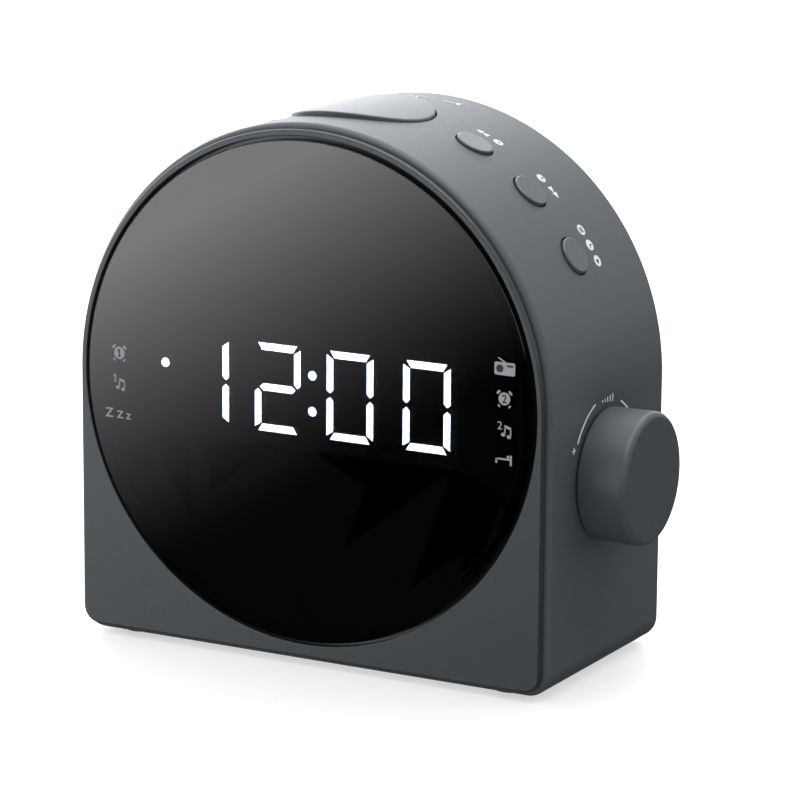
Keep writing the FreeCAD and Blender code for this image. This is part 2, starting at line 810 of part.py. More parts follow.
def speaker_dust_cap():
    """A shallow dome glued to the cone over the voice coil."""
    rim, rise, thick = 7.0, 2.6, 0.3
    radius = (rim**2 + rise**2) / (2 * rise)
    base = 16.3
    centre = point(0, base + rise - radius, SPEAKER_Z)
    dome = Part.makeSphere(radius, centre).cut(Part.makeSphere(radius - thick, centre))
    return dome.common(y_rod(20, 0, SPEAKER_Z, base, base + rise + 1))


def speaker_surround():
    """The half-round rubber roll between the cone and the basket."""
    middle, roll, thick = 20.1, 0.9, 0.3
    centre = point(0, SPEAKER_FRONT, SPEAKER_Z)
    outer = Part.makeTorus(middle, roll, centre, Y_AXIS)
    inner = Part.makeTorus(middle, roll - thick, centre, Y_AXIS)
    front = y_rod(30, 0, SPEAKER_Z, SPEAKER_FRONT, SPEAKER_FRONT + 2)
    half = outer.cut(inner).common(front)
    flat = ring(22.6, middle + roll - 0.1, centre, centre + Y_AXIS * thick)
    return joined([half, flat])


def speaker_gasket():
    start = point(0, SPEAKER_FRONT, SPEAKER_Z)
    return ring(SPEAKER_FLANGE_R, 23.0, start, point(0, COVER_IN, SPEAKER_Z))


# ---- keys ---------------------------------------------------------------------------
def key_bracket():
    """The arched rail that carries the switches, screwed to posts inside the shell."""
    rail = arch_band(STRIP_IN, BRACKET_IN, -BRACKET_HALF, BRACKET_HALF, BRACKET_SPAN)
    return without(rail, [
        at_angle(outward(SCREW_R + 0.2, BRACKET_IN - 2, STRIP_IN + 1, y), degrees)
        for degrees, y in BRACKET_POSTS
    ])


def key_flex_strip():
    return arch_band(STRIP_OUT, STRIP_IN, -STRIP_HALF, STRIP_HALF, (25.0, 155.0))


def all_key_angles():
    return list(KEY_ANGLES.values()) + [SNOOZE_ANGLE]


def switch_bodies():
    half = SWITCH_SIDE / 2
    body = box((-half, half), (-half, half), (ARCH_Z + STRIP_IN, ARCH_Z + SWITCH_TOP))
    body = body.cut(y_rod(STRIP_OUT, 0, ARCH_Z, -half - 1, half + 1))
    body = body.cut(outward(PLUNGER_R + 0.3, SWITCH_TOP - PLUNGER_WELL, SWITCH_TOP + 1))
    return [at_angle(body, degrees) for degrees in all_key_angles()]


def switch_plunger(degrees):
    return at_angle(outward(PLUNGER_R, PLUNGER_TOP - PLUNGER_LENGTH, PLUNGER_TOP), degrees)


def round_key(degrees):
    """A round cap, its hidden flange and the stem that meets the switch."""
    top = HALF_WIDTH + KEY_RAISE
    flange_top = INNER_R - 0.8
    profile = [
        (0, PLUNGER_TOP), (2.0, PLUNGER_TOP), (2.0, flange_top - 1), (KEY_FLANGE_R, flange_top - 1),
        (KEY_FLANGE_R, flange_top), (KEY_R, flange_top), (KEY_R, top), (0, top),
    ]
    key = turned(profile, point(0, 0, ARCH_Z), Z_AXIS)
    edges = [
        edge for edge in key.Edges
        if abs(edge.BoundBox.ZMin - ARCH_Z - top) < 1e-6 and edge.BoundBox.XLength > 1
        and edge.BoundBox.YLength > 1
    ]
    return at_angle(key.makeFillet(KEY_ROUND, edges), degrees)


def snooze_key():
    """The broad cap on top: its crown is rounder than the arch, so its sides lie lower."""
    crown_z = ARCH_Z + HALF_WIDTH + SNOOZE_TOP - SNOOZE_CROWN_R
    low = INNER_R - 1.6
    cap = outward(SNOOZE_R, low - 8, HALF_WIDTH + 10)
    cap.rotate(point(0, 0, 0), Z_AXIS, 45)
    crown = y_rod(SNOOZE_CROWN_R, 0, crown_z, -30, 30)
    crown.rotate(point(0, 0, crown_z), Y_AXIS, 180)  # its seam goes to the hidden side
    cap = cap.common(crown)
    tops = [face for face in cap.Faces if is_cylinder(face, SNOOZE_CROWN_R)]
    cap = cap.makeFillet(KEY_ROUND, tops[0].OuterWire.Edges)
    cap = cap.cut(y_rod(low, 0, ARCH_Z, -30, 30))
    hollow = outward(SNOOZE_R - 1.8, low - 8, HALF_WIDTH + 10).common(
        y_rod(HALF_WIDTH - 1.0, 0, ARCH_Z, -30, 30)
    )
    cap = cap.cut(hollow)
    band = y_rod(INNER_R - 0.4, 0, ARCH_Z, -30, 30).cut(y_rod(low, 0, ARCH_Z, -30, 30))
    flange = outward(SNOOZE_FLANGE_R, low - 8, HALF_WIDTH).cut(
        outward(SNOOZE_R - 1.8, low - 9, HALF_WIDTH + 1)
    ).common(band)
    stem = outward(2.5, PLUNGER_TOP, HALF_WIDTH - 0.8)
    return at_angle(joined([cap, flange, stem]), SNOOZE_ANGLE)


# ---- volume control -----------------------------------------------------------------
def potentiometer_body():
    can = x_rod(POT_R, VOLUME_Y, VOLUME_Z, INNER_R - POT_DEPTH, INNER_R)
    bushing = x_rod(BUSHING_R, VOLUME_Y, VOLUME_Z, INNER_R - 1, INNER_R + 4.4)
    bore = x_rod(SHAFT_R + RUNNING_GAP, VOLUME_Y, VOLUME_Z, INNER_R - 6.8, INNER_R + 5)
    return joined([can, bushing]).cut(bore)


def potentiometer_washer():
    start = point(HALF_WIDTH, VOLUME_Y, VOLUME_Z)
    return ring(6.0, BUSHING_R + RUNNING_GAP, start, start + X_AXIS * 0.6)


def potentiometer_nut():
    across = 11.0 / math.sqrt(3)
    corners = []
    for turn in range(6):
        angle = math.radians(60 * turn)
        y = VOLUME_Y + across * math.cos(angle)
        corners.append(point(HALF_WIDTH + 0.6, y, VOLUME_Z + across * math.sin(angle)))
    nut = Part.Face(Part.makePolygon(corners + corners[:1])).extrude(X_AXIS * 1.6)
    return nut.cut(x_rod(BUSHING_R + RUNNING_GAP, VOLUME_Y, VOLUME_Z, HALF_WIDTH, HALF_WIDTH + 3))


def shaft_with_flat(radius, x0, x1):
    shaft = x_rod(radius, VOLUME_Y, VOLUME_Z, x0, x1)
    flat_from = HALF_WIDTH + 5
    flat = VOLUME_Z + radius - SHAFT_FLAT
    return shaft.cut(box((flat_from, x1 + 1), (-5, 5), (flat, flat + 5)))


def volume_shaft():
    return shaft_with_flat(SHAFT_R, INNER_R - 6.5, HALF_WIDTH + KNOB_REACH - KNOB_FACE - 0.3)


def volume_knob():
    """A plain drum, hollow behind its face, with a hub and six ribs on the shaft."""
    start = HALF_WIDTH + KNOB_GAP
    end = HALF_WIDTH + KNOB_REACH
    face = end - KNOB_FACE
    drum = x_rod(KNOB_R, VOLUME_Y, VOLUME_Z, start, end)
    rim = [e for e in drum.Edges if abs(e.BoundBox.XMin - end) < 1e-6]
    drum = drum.makeFillet(KNOB_ROUND, rim)
    drum = drum.cut(x_rod(KNOB_R - KNOB_WALL, VOLUME_Y, VOLUME_Z, start - 1, face))
    parts = [drum, x_rod(KNOB_HUB_R, VOLUME_Y, VOLUME_Z, start + 3, face + 0.5)]
    for turn in range(6):
        rib = box(
            (start + 5, face + 0.5), (-0.6, 0.6), (KNOB_HUB_R - 1, KNOB_R - KNOB_WALL + 0.5)
        )
        rib.rotate(point(0, 0, 0), X_AXIS, 60 * turn)
        rib.translate(point(0, VOLUME_Y, VOLUME_Z))
        parts.append(rib)
    bore = x_rod(SHAFT_R + 0.03, VOLUME_Y, VOLUME_Z, start, face - 0.3)
    flat = VOLUME_Z + SHAFT_R - SHAFT_FLAT + 0.03
    bore = bore.cut(box((HALF_WIDTH + 5.3, end), (-5, 5), (flat, flat + 5)))
    return joined(parts).cut(bore)


# ---- wiring and small screws --------------------------------------------------------
def display_cable():
    start = DISPLAY_BOARD_Y + BOARD_THICK + 3.4
    points = [point(10, start, 50), point(10, -8, 50), point(10, -8, HEADER_TOP)]
    return flat_cable(points, 10, 0.9, 3.0)


def key_cable():
    """A flat ribbon that runs straight up from the main board to the header on the rail."""
    return box((-43.3, -42.7), (-4, 6), (HEADER_TOP, KEY_HEADER_LOW))


def speaker_wires():
    start = SPEAKER_FRONT - 2.4
    wires = []
    for x in (-2.5, 2.5):
        points = [
            point(x, start, SPEAKER_Z - 23.5), point(x, 16, SPEAKER_Z - 23.5), point(x, 16, HEADER_TOP),
        ]
        wires.append(wire_along(points, 0.6, 2.4))
    return wires


def volume_wires():
    wires = []
    top = VOLUME_Z - POT_R
    x0 = INNER_R - POT_DEPTH / 2
    for y in (VOLUME_Y - 2, VOLUME_Y, VOLUME_Y + 2):
        points = [
            point(x0, y, top), point(x0, y, 31),
            point(42.5, y + 4, 31), point(42.5, y + 4, HEADER_TOP),
        ]
        wires.append(wire_along(points, 0.6, 3.0))
    return wires


def small_screws():
    """The short tapping screws of the two boards, the speaker and the key bracket."""
    screws = [
        tapping_screw(point(x, DISPLAY_BOARD_Y + BOARD_THICK, z), -Y_AXIS)
        for x, z in DISPLAY_POSTS
    ]
    screws += [
        tapping_screw(point(x, y, MAIN_BOARD_Z + BOARD_THICK), -Z_AXIS)
        for x, y in MAIN_POSTS
    ]
    screws += [
        tapping_screw(point(x, SPEAKER_FRONT - 1.2, z), Y_AXIS) for x, z in speaker_ears()
    ]
    seat = math.sqrt(BRACKET_IN**2 - SCREW_HEAD_R**2)  # the head bears on the curved rail
    for degrees, y in BRACKET_POSTS:
        upright = tapping_screw(point(0, y, ARCH_Z + seat), Z_AXIS)
        screws.append(at_angle(upright, degrees))
    return screws


def main():
    os.makedirs("parts", exist_ok=True)
    save("body_shell", [body_shell()])
    save("front_bezel", [front_bezel()])
    save("display_lens", [display_lens()])
    save("lens_tape_ring", [lens_tape_ring()])
    save("icon_film", [icon_film()])
    save("rear_cover", [rear_cover()])
    save("foot_pads", foot_pads())
    save("case_screws", case_screws())
    save("lit_segments", display_bars(True))
    save("dark_segments", display_bars(False))
    save("display_dots", display_dots())
    save("digit_light_box", [digit_light_box()])
    save("segment_leds", segment_leds())
    save("display_board", [display_board()])
    save("display_cable", [display_cable()])
    save("main_board", [main_board()])
    save("board_chips", board_chips())
    save("board_capacitors", board_capacitors())
    save("cable_headers", cable_headers())
    save("dc_jack_body", [dc_jack_body()])
    save("dc_jack_pin", [dc_jack_pin()])
    save("aerial_grommet", [aerial_grommet()])
    save("coin_cell", [coin_cell()])
    save("cell_contacts", cell_contacts())
    save("battery_door", [battery_door()])
    save("speaker_basket", [speaker_basket()])
    save("speaker_top_plate", [speaker_top_plate()])
    save("speaker_magnet", [speaker_magnet()])
    save("speaker_yoke", [speaker_yoke()])
    save("voice_coil", [voice_coil()])
    save("speaker_cone", [speaker_cone()])
    save("speaker_dust_cap", [speaker_dust_cap()])
    save("speaker_surround", [speaker_surround()])
    save("speaker_gasket", [speaker_gasket()])
    save("speaker_wires", speaker_wires())
    save("volume_knob", [volume_knob()])
    save("volume_shaft", [volume_shaft()])
    save("potentiometer_body", [potentiometer_body()])
    save("potentiometer_washer", [potentiometer_washer()])
    save("potentiometer_nut", [potentiometer_nut()])
    save("volume_wires", volume_wires())
    save("key_bracket", [key_bracket()])
    save("key_flex_strip", [key_flex_strip()])
    save("key_cable", [key_cable()])
    save("switch_bodies", switch_bodies())
    save("snooze_key", [snooze_key()])
    save("snooze_plunger", [switch_plunger(SNOOZE_ANGLE)])
    for name, degrees in KEY_ANGLES.items():
        save(name, [round_key(degrees)])
        save(name.replace("_key", "_plunger"), [switch_plunger(degrees)])
    save("small_screws", small_screws())


main()
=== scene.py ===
"""Clock radio with an arched housing: its visible pieces and its finishes.

Metres, +Z up. The front faces -Y and the volume knob stands out of the +X wall. The
part's own frame gives every place; this file remodels the moulded pieces around it,
prints their markings and gives each piece the surface of its real material.
"""

import math

import bpy
from mathutils import Matrix, Vector


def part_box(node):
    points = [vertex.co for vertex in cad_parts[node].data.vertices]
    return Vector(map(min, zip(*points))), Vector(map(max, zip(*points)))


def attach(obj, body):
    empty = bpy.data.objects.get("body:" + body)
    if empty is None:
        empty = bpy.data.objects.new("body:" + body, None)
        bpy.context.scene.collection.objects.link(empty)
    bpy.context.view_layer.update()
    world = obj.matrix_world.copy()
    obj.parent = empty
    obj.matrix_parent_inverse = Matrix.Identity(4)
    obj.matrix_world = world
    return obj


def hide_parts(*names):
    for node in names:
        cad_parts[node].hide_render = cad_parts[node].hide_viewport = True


bl_info = {
    "name": "Clock radio",
    "version": (1, 0, 0),
    "blender": (4, 5, 0),
    "location": "3D View > Sidebar > Clock radio",
    "description": "Builds the looks of an arched bedside clock radio on its packed frame",
    "category": "Object",
}

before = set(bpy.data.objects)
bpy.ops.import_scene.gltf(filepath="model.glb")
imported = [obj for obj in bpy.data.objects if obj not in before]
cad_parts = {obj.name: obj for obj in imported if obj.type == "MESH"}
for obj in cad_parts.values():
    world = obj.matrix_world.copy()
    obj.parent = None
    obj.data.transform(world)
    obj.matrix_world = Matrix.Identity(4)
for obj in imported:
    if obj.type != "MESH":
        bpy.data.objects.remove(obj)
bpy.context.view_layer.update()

# ---- places read from the frame -------------------------------------------------------
MM = 0.001
TINY = 1e-6
SHELL_LOW, SHELL_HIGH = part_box("body_shell")
LENS_LOW, LENS_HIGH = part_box("display_lens")
COVER_LOW, COVER_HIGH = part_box("rear_cover")
KNOB_LOW, KNOB_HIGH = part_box("volume_knob")
RING_LOW, RING_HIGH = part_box("front_bezel")
FEET_LOW, FEET_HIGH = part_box("foot_pads")
SPEAKER_LOW, SPEAKER_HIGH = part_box("speaker_basket")

MIDDLE = (SHELL_LOW.x + SHELL_HIGH.x) / 2
HALF = (SHELL_HIGH.x - SHELL_LOW.x) / 2
FLOOR = SHELL_LOW.z
ARCH = SHELL_HIGH.z - HALF
BACK = SHELL_HIGH.y
SLEEVE_FRONT = SHELL_LOW.y
PARTING = LENS_HIGH.y
LENS_FRONT = LENS_LOW.y
GLASS_FACE = LENS_FRONT + 0.03 * MM
LENS_R = (LENS_HIGH.x - LENS_LOW.x) / 2
RING_FACE = RING_LOW.y
KNOB_R = (KNOB_HIGH.y - KNOB_LOW.y) / 2
KNOB_Y = (KNOB_LOW.y + KNOB_HIGH.y) / 2
KNOB_Z = (KNOB_LOW.z + KNOB_HIGH.z) / 2
COVER_OUT = COVER_HIGH.y
SPEAKER_Z = (SPEAKER_LOW.z + SPEAKER_HIGH.z) / 2

# ---- sizes of the moulded pieces ------------------------------------------------------
CORNER = 5.75 * MM
LIP_INSET = 2.4 * MM
LIP_THICK = 1.4 * MM
LIP_DEPTH = 3.8 * MM
LENS_SEAT = PARTING + 0.3 * MM
PLATE_BACK = LENS_SEAT + 1.5 * MM
RECESS_R = LENS_R + 0.9 * MM
COVER_THICK = 2.5 * MM
BOSS_MEET = 22.0 * MM
SCREW_SEAT = 27.0 * MM
CASE_BOSSES = ((-54.5, 11.5), (54.5, 11.5), (-54.3, 81.0), (54.3, 81.0))
DISPLAY_POSTS = ((-46.0, 49.5), (46.0, 49.5), (-46.0, 86.5), (46.0, 86.5))
BOARD_POSTS = ((-43.0, -8.0), (43.0, -8.0), (-43.0, 22.0), (43.0, 22.0))
BRACKET_POSTS = ((40.0, -11.0), (40.0, 11.0), (140.0, -11.0), (140.0, 11.0))
SPEAKER_EAR = 29.5 * math.sqrt(0.5)
POST_R = 3.0
PILOT_R = 1.35
KEY_R = 4.65 * MM
KEY_HOLE_R = 5.0 * MM
KEYS = (
    ("hour", 64.0),
    ("minute", 48.0),
    ("preset", 31.4),
    ("alarm_one", 118.0),
    ("alarm_two", 134.0),
    ("power", 150.6),
)
SNOOZE_ANGLE = 91.8
SNOOZE_R = 17.5 * MM
SNOOZE_HOLE_R = 17.9 * MM
SNOOZE_FLANGE_R = 19.2 * MM
SNOOZE_TOP = 1.28 * MM
SNOOZE_CROWN_R = 50.5 * MM
SCALE_Z = 50.3 * MM
JACK_Z = 21.1 * MM
KEY_MARKS_Y = 9.7
CELL_SPOT = (-22.0, 2.0)
FOOT_SPOTS = ((-52.0, -22.0), (52.0, -22.0), (-52.0, 22.0), (52.0, 22.0))

RIGHT = Vector((1, 0, 0))
DEEP = Vector((0, 1, 0))
UP = Vector((0, 0, 1))


# ---- colours and nodes ----------------------------------------------------------------
def linear(code):
    """An sRGB hex colour as linear light with full alpha."""
    levels = [int(code[i : i + 2], 16) / 255 for i in (1, 3, 5)]
    return (
        *(v / 12.92 if v <= 0.04045 else ((v + 0.055) / 1.055) ** 2.4 for v in levels),
        1.0,
    )


def add(tree, kind, settings=None, links=None):
    """A node, its settings (sockets or properties) and the links that come into it."""
    made = tree.nodes.new(kind)
    for key, value in (settings or {}).items():
        if isinstance(key, int) or key in made.inputs:
            made.inputs[key].default_value = value
        else:
            setattr(made, key, value)
    for key, source in (links or {}).items():
        tree.links.new(source, made.inputs[key])
    return made


def begin(name):
    """An empty finish: its material, tree, shader and the piece's own coordinates."""
    material = bpy.data.materials.new(name)
    material.use_nodes = True
    tree = material.node_tree
    place = add(tree, "ShaderNodeTexCoord")
    return material, tree, tree.nodes["Principled BSDF"], place.outputs["Object"]


def constants(shader, values):
    for key, value in values.items():
        shader.inputs[key].default_value = value


def wired(tree, shader, sources):
    for key, source in sources.items():
        tree.links.new(source, shader.inputs[key])


def noise(tree, place, size, detail):
    """A cloudy value whose patches are about that size."""
    settings = {"Scale": 1 / size, "Detail": detail}
    return add(tree, "ShaderNodeTexNoise", settings, {"Vector": place}).outputs["Fac"]


def blend(tree, share, low, high):
    """A colour that runs from low to high with the share."""
    settings = {"data_type": "RGBA", 6: low, 7: high}
    return add(tree, "ShaderNodeMix", settings, {0: share}).outputs[2]


def mapped(tree, value, settings):
    return add(tree, "ShaderNodeMapRange", settings, {"Value": value}).outputs["Result"]


def relief(tree, height, depth):
    """The way a surface faces when its relief is that deep."""
    return add(tree, "ShaderNodeBump", {"Distance": depth}, {"Height": height}).outputs["Normal"]


def facing(tree, aim, direction):
    """How nearly a ray points along a direction."""
    settings = {"operation": "DOT_PRODUCT", 1: direction}
    return add(tree, "ShaderNodeVectorMath", settings, {0: aim}).outputs["Value"]


def mottled(name, light, dark, patch, roughness, spread, grain, depth, **values):
    """A surface whose tone drifts over patches and whose fine grain breaks up its gloss."""
    material, tree, shader, place = begin(name)
    tone = blend(tree, noise(tree, place, patch, 3.0), dark, light)
    fine = noise(tree, place, grain, 2.0)
    ends = {"To Min": roughness - spread, "To Max": roughness + spread}
    gloss = mapped(tree, fine, {"From Min": 0.3, "From Max": 0.7, **ends})
    normal = relief(tree, fine, depth)
    wired(tree, shader, {"Base Color": tone, "Roughness": gloss, "Normal": normal})
    constants(shader, {snake.replace("_", " "): value for snake, value in values.items()})
    return material


def banded(name, axis, pitch, dark, light, depth, values):
    """Round cores that lie side by side, one pitch apart along an axis. The bands that raise each core also
    colour it lighter on its crown and darker between cores: painted highlight and painted shade.
    """
    material, tree, shader, place = begin(name)
    settings = {"wave_type": "BANDS", "bands_direction": axis, "Scale": math.pi / 10 / pitch}
    cores = add(tree, "ShaderNodeTexWave", settings, {"Vector": place}).outputs["Fac"]
    # painted highlight and shade: light on each core's crown, dark in the valleys between cores, following
    # the relief
    tone = blend(tree, cores, linear(dark), linear(light))
    wired(tree, shader, {"Base Color": tone, "Normal": relief(tree, cores, depth)})
    constants(shader, values)
    return material


# ---- finishes -------------------------------------------------------------------------
def spark_textured_abs(name, colour, roughness):
    """Moulded ABS from a spark-eroded tool: an even satin with a fine, dry grain.

    The real grain is about 0.1 mm; it is drawn at 0.4 mm so that it shows.
    """
    dark = tuple(0.93 * v for v in colour[:3]) + (1.0,)
    light = tuple(1.07 * v for v in colour[:3]) + (1.0,)
    return mottled(
        name, light, dark, 22 * MM, roughness, 0.05, 0.4 * MM, 0.02 * MM, IOR=1.54
    )


def smoked_acrylic():
    """Polished smoked acrylic: black until something lights up behind it, with a clean
    mirror-like reflection that a little polishing haze softens."""
    material, tree, shader, place = begin("Smoked acrylic, polished")
    haze = noise(tree, place, 9 * MM, 4.0)
    tone = blend(tree, haze, linear("#2e3135"), linear("#323538"))
    gloss = mapped(tree, haze, {"To Min": 0.0, "To Max": 0.02})
    wired(tree, shader, {"Base Color": tone, "Roughness": gloss})
    constants(shader, {"Transmission Weight": 1.0, "IOR": 1.49})
    return material


def screen_ink(name, colour):
    """Screen-printed ink: thin, flat and matt, with the faint stipple of the mesh.

    The mesh's 0.06 mm threads are drawn at 0.3 mm.
    """
    dark = tuple(0.9 * v for v in colour[:3]) + (1.0,)
    return mottled(name, colour, dark, 1.2 * MM, 0.6, 0.08, 0.3 * MM, 0.004 * MM)


def black_ink():
    """The same ink in black, for the figures knocked out of the pale marks."""
    return mottled(
        "Screen-printed ink, black", linear("#1b1d20"), linear("#141618"), 1.2 * MM, 0.6, 0.08,
        0.3 * MM, 0.004 * MM,
    )  # fmt: skip


def lit_diffuser(colour):
    """Milky acrylic in front of a light-emitting chip: even white, a touch bluer in random patches."""
    material, tree, shader, place = begin("Milky diffuser, lit")
    tone = blend(tree, noise(tree, place, 6 * MM, 1.0), linear("#dbeaff"), colour)
    wired(tree, shader, {"Base Color": tone, "Emission Color": tone})
    constants(shader, {"Emission Strength": 90.0, "Roughness": 0.4})
    return material


def light_box_plastic():
    """White ABS with a black printed front, so that only its cells let light out."""
    material, tree, shader, place = begin("White ABS with a black printed front")
    depth = add(tree, "ShaderNodeSeparateXYZ", links={0: place}).outputs["Y"]
    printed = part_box("digit_light_box")[0].y + 0.05 * MM
    behind = add(tree, "ShaderNodeMath", {"operation": "GREATER_THAN", 1: printed}, {0: depth})
    white = blend(tree, noise(tree, place, 5 * MM, 2.0), linear("#d8d8d2"), linear("#e6e6e2"))
    black = {"data_type": "RGBA", 6: linear("#0d0e10")}
    tone = add(tree, "ShaderNodeMix", black, {0: behind.outputs[0], 7: white})
    wired(tree, shader, {"Base Color": tone.outputs[2]})
    constants(shader, {"Roughness": 0.5})
    return material


def circuit_board():
    """Glass-epoxy board under green solder mask: a glossy lacquer that shows the darker
    lanes between the copper runs, 1.3 mm apart, and a faint weave."""
    material, tree, shader, place = begin("Glass-epoxy board, green solder mask")
    lanes = add(
        tree,
        "ShaderNodeTexBrick",
        {
            "Color1": linear("#1d6a3c"),
            "Color2": linear("#17552f"),
            "Mortar": linear("#0f3f22"),
            "Scale": 1.0,
            "Brick Width": 7.8 * MM,
            "Row Height": 1.3 * MM,
            "Mortar Size": 0.2 * MM,
        },
        {"Vector": place},
    )
    normal = relief(tree, noise(tree, place, 0.6 * MM, 1.0), 0.02 * MM)
    wired(tree, shader, {"Base Color": lanes.outputs["Color"], "Normal": normal})
    constants(shader, {"Roughness": 0.3, "IOR": 1.5})
    return material


def ribbon_cable():
    """Grey PVC ribbon: a row of round cores 1.27 mm apart, so its face is ribbed, and its grey is painted
    lighter on each core and darker between cores as painted highlight and painted shade.
    """
    name = "PVC ribbon cable, grey"
    # 77787a is painted shade between the cores, #a3a4a6 a painted highlight on them
    return banded(name, "X", 1.27 * MM, "#77787a", "#a3a4a6", 0.3 * MM, {"Roughness": 0.5})


def enamelled_copper():
    """Fine enamelled wire wound side by side: glossy rings 0.5 mm apart along the coil, each coloured
    bright on its crown and dark between turns as painted highlight and painted shade.
    """
    gloss = {"Metallic": 1.0, "Roughness": 0.3}
    name = "Enamelled copper wire, wound"
    # 7a3a1c is painted shade between the turns, #c47845 a painted highlight on each turn
    return banded(name, "Y", 0.5 * MM, "#7a3a1c", "#c47845", 0.1 * MM, gloss)


METAL = {"Metallic": 1.0}
# Each finish is a name, a light and a dark tone, a patch size (mm), a roughness and its spread,
# a grain and a depth (mm), other sockets, and the pieces that wear it.
PLAIN_FINISHES = (
    # hard foam tape: dull black with open pores
    (
        "Foam tape, black", "#202124", "#141517", 3, 0.9, 0.05, 0.5, 0.08, {},
        "lens_tape_ring",
    ),
    # printed polyester film: dense black, almost no sheen
    (
        "Printed polyester film, black", "#0c0d0f", "#08090a", 9, 0.55, 0.05, 0.5, 0.004, {},
        "icon_film",
    ),
    # plain tool-finished ABS on unseen brackets: smoother and greyer than the outside
    (
        "ABS, plain moulded, dark grey", "#5a5c60", "#4f5155", 12, 0.45, 0.06, 0.8, 0.02, {"IOR": 1.54},
        "key_bracket",
    ),
    # zinc-plated steel: bright, slightly blue, with soft streaks
    (
        "Steel, zinc plated", "#b9bdc1", "#9a9ea3", 1.5, 0.32, 0.08, 0.3, 0.01, METAL,
        "case_screws small_screws speaker_basket speaker_top_plate speaker_yoke "
        "potentiometer_washer",
    ),
    # nickel plate on contact springs: warm white, smooth
    (
        "Brass, nickel plated", "#c9c4b8", "#b2ac9f", 2, 0.22, 0.05, 0.3, 0.006, METAL,
        "dc_jack_pin cell_contacts potentiometer_nut",
    ),
    # drawn stainless can of the coin cell: fine circular brushing, cool grey
    (
        "Stainless steel, drawn", "#c3c5c7", "#a9acae", 4, 0.28, 0.06, 0.25, 0.006, METAL,
        "coin_cell",
    ),
    # sintered ferrite: charcoal, granular, dull
    (
        "Sintered ferrite", "#3a3a3c", "#272729", 1.2, 0.75, 0.1, 0.4, 0.04, {},
        "speaker_magnet",
    ),
    # pressed paper pulp: soft black with a felted, fibrous surface
    (
        "Pressed paper pulp, black", "#2b2b2d", "#1c1c1e", 1.6, 0.9, 0.06, 0.6, 0.12, {"Sheen Weight": 0.2},
        "speaker_cone speaker_dust_cap",
    ),
    # butyl rubber: deep black, a soft low sheen
    (
        "Butyl rubber", "#1d1d1e", "#151516", 5, 0.6, 0.06, 0.5, 0.01, {},
        "aerial_grommet speaker_surround",
    ),
    # closed-cell foam: matt, pitted
    (
        "Closed-cell foam, black", "#232325", "#151517", 1, 0.95, 0.03, 0.5, 0.15, {},
        "speaker_gasket",
    ),
    # epoxy moulding of chips and switches: black with a fine frosting
    (
        "Moulded epoxy, black", "#242527", "#1a1b1d", 3, 0.6, 0.08, 0.3, 0.01, {},
        "board_chips switch_bodies",
    ),
    # heat-shrunk sleeve: dark navy, glossy, slightly wavy
    (
        "Heat-shrunk PVC sleeve, navy", "#232a44", "#1a2036", 4, 0.28, 0.05, 1.5, 0.05, {},
        "board_capacitors",
    ),
    # PVC insulation: waxy red
    (
        "PVC insulation, red", "#b3241d", "#931a15", 3, 0.4, 0.06, 0.4, 0.01, {},
        "speaker_wires volume_wires",
    ),
    # polyimide film over copper runs: glossy amber
    (
        "Polyimide film, amber", "#b8762a", "#8f5618", 1.8, 0.25, 0.05, 0.6, 0.01, {},
        "key_flex_strip",
    ),
    # glass-filled nylon socket: black, faintly streaked
    (
        "Glass-filled nylon, black", "#1f2022", "#151618", 2.5, 0.42, 0.08, 0.4, 0.02, {},
        "dc_jack_body potentiometer_body",
    ),
    # natural nylon plungers: off-white, waxy
    (
        "Nylon, natural", "#cfcabd", "#bdb8aa", 2, 0.45, 0.06, 0.4, 0.01, {"Subsurface Weight": 0.1},
        "segment_leds cable_headers snooze_plunger hour_plunger minute_plunger "
        "preset_plunger alarm_one_plunger alarm_two_plunger power_plunger",
    ),
    # turned aluminium shaft: bright, with fine lathe marks
    (
        "Aluminium, turned", "#d2d3d5", "#b4b5b8", 0.8, 0.25, 0.06, 0.25, 0.01, METAL,
        "volume_shaft",
    ),
    # unlit diffuser: the same milky acrylic, coloured dark as painted shade for the dark it sits in behind
    # its tinted face
    (
        "Milky diffuser, unlit", "#2a2b2e", "#222326", 3, 0.4, 0.05, 0.4, 0.005, {},
        "dark_segments",
    ),
)  # fmt: skip


def hidden_finishes():
    """The finish of each piece kept as the frame gives it, by the piece's name."""
    shown = {}
    for name, light, dark, patch, roughness, spread, grain, depth, values, pieces in PLAIN_FINISHES:
        finish = mottled(
            name, linear(light), linear(dark), patch * MM, roughness, spread, grain * MM,
            depth * MM, **values,
        )  # fmt: skip
        shown.update(dict.fromkeys(pieces.split(), finish))
    for finish, pieces in (
        (circuit_board(), "display_board main_board"),
        (lit_diffuser(colour("digits")), "lit_segments display_dots"),
        (light_box_plastic(), "digit_light_box"),
        (ribbon_cable(), "display_cable"),
        (enamelled_copper(), "voice_coil"),
        (ribbon_cable(), "key_cable"),
    ):
        shown.update(dict.fromkeys(pieces.split(), finish))
    return shown


# ---- modelling steps ------------------------------------------------------------------
def only(piece):
    """Object mode, with this piece alone selected and active."""
    if bpy.context.object and bpy.context.object.mode != "OBJECT":
        bpy.ops.object.mode_set(mode="OBJECT")
    bpy.ops.object.select_all(action="DESELECT")
    if piece:
        piece.select_set(True)
        bpy.context.view_layer.objects.active = piece


def settle(name):
    """Name the newest object and put its place into its mesh."""
    piece = bpy.context.object
    only(piece)
    piece.name = piece.data.name = name
    bpy.ops.object.transform_apply(location=True, rotation=True, scale=True)
    return piece


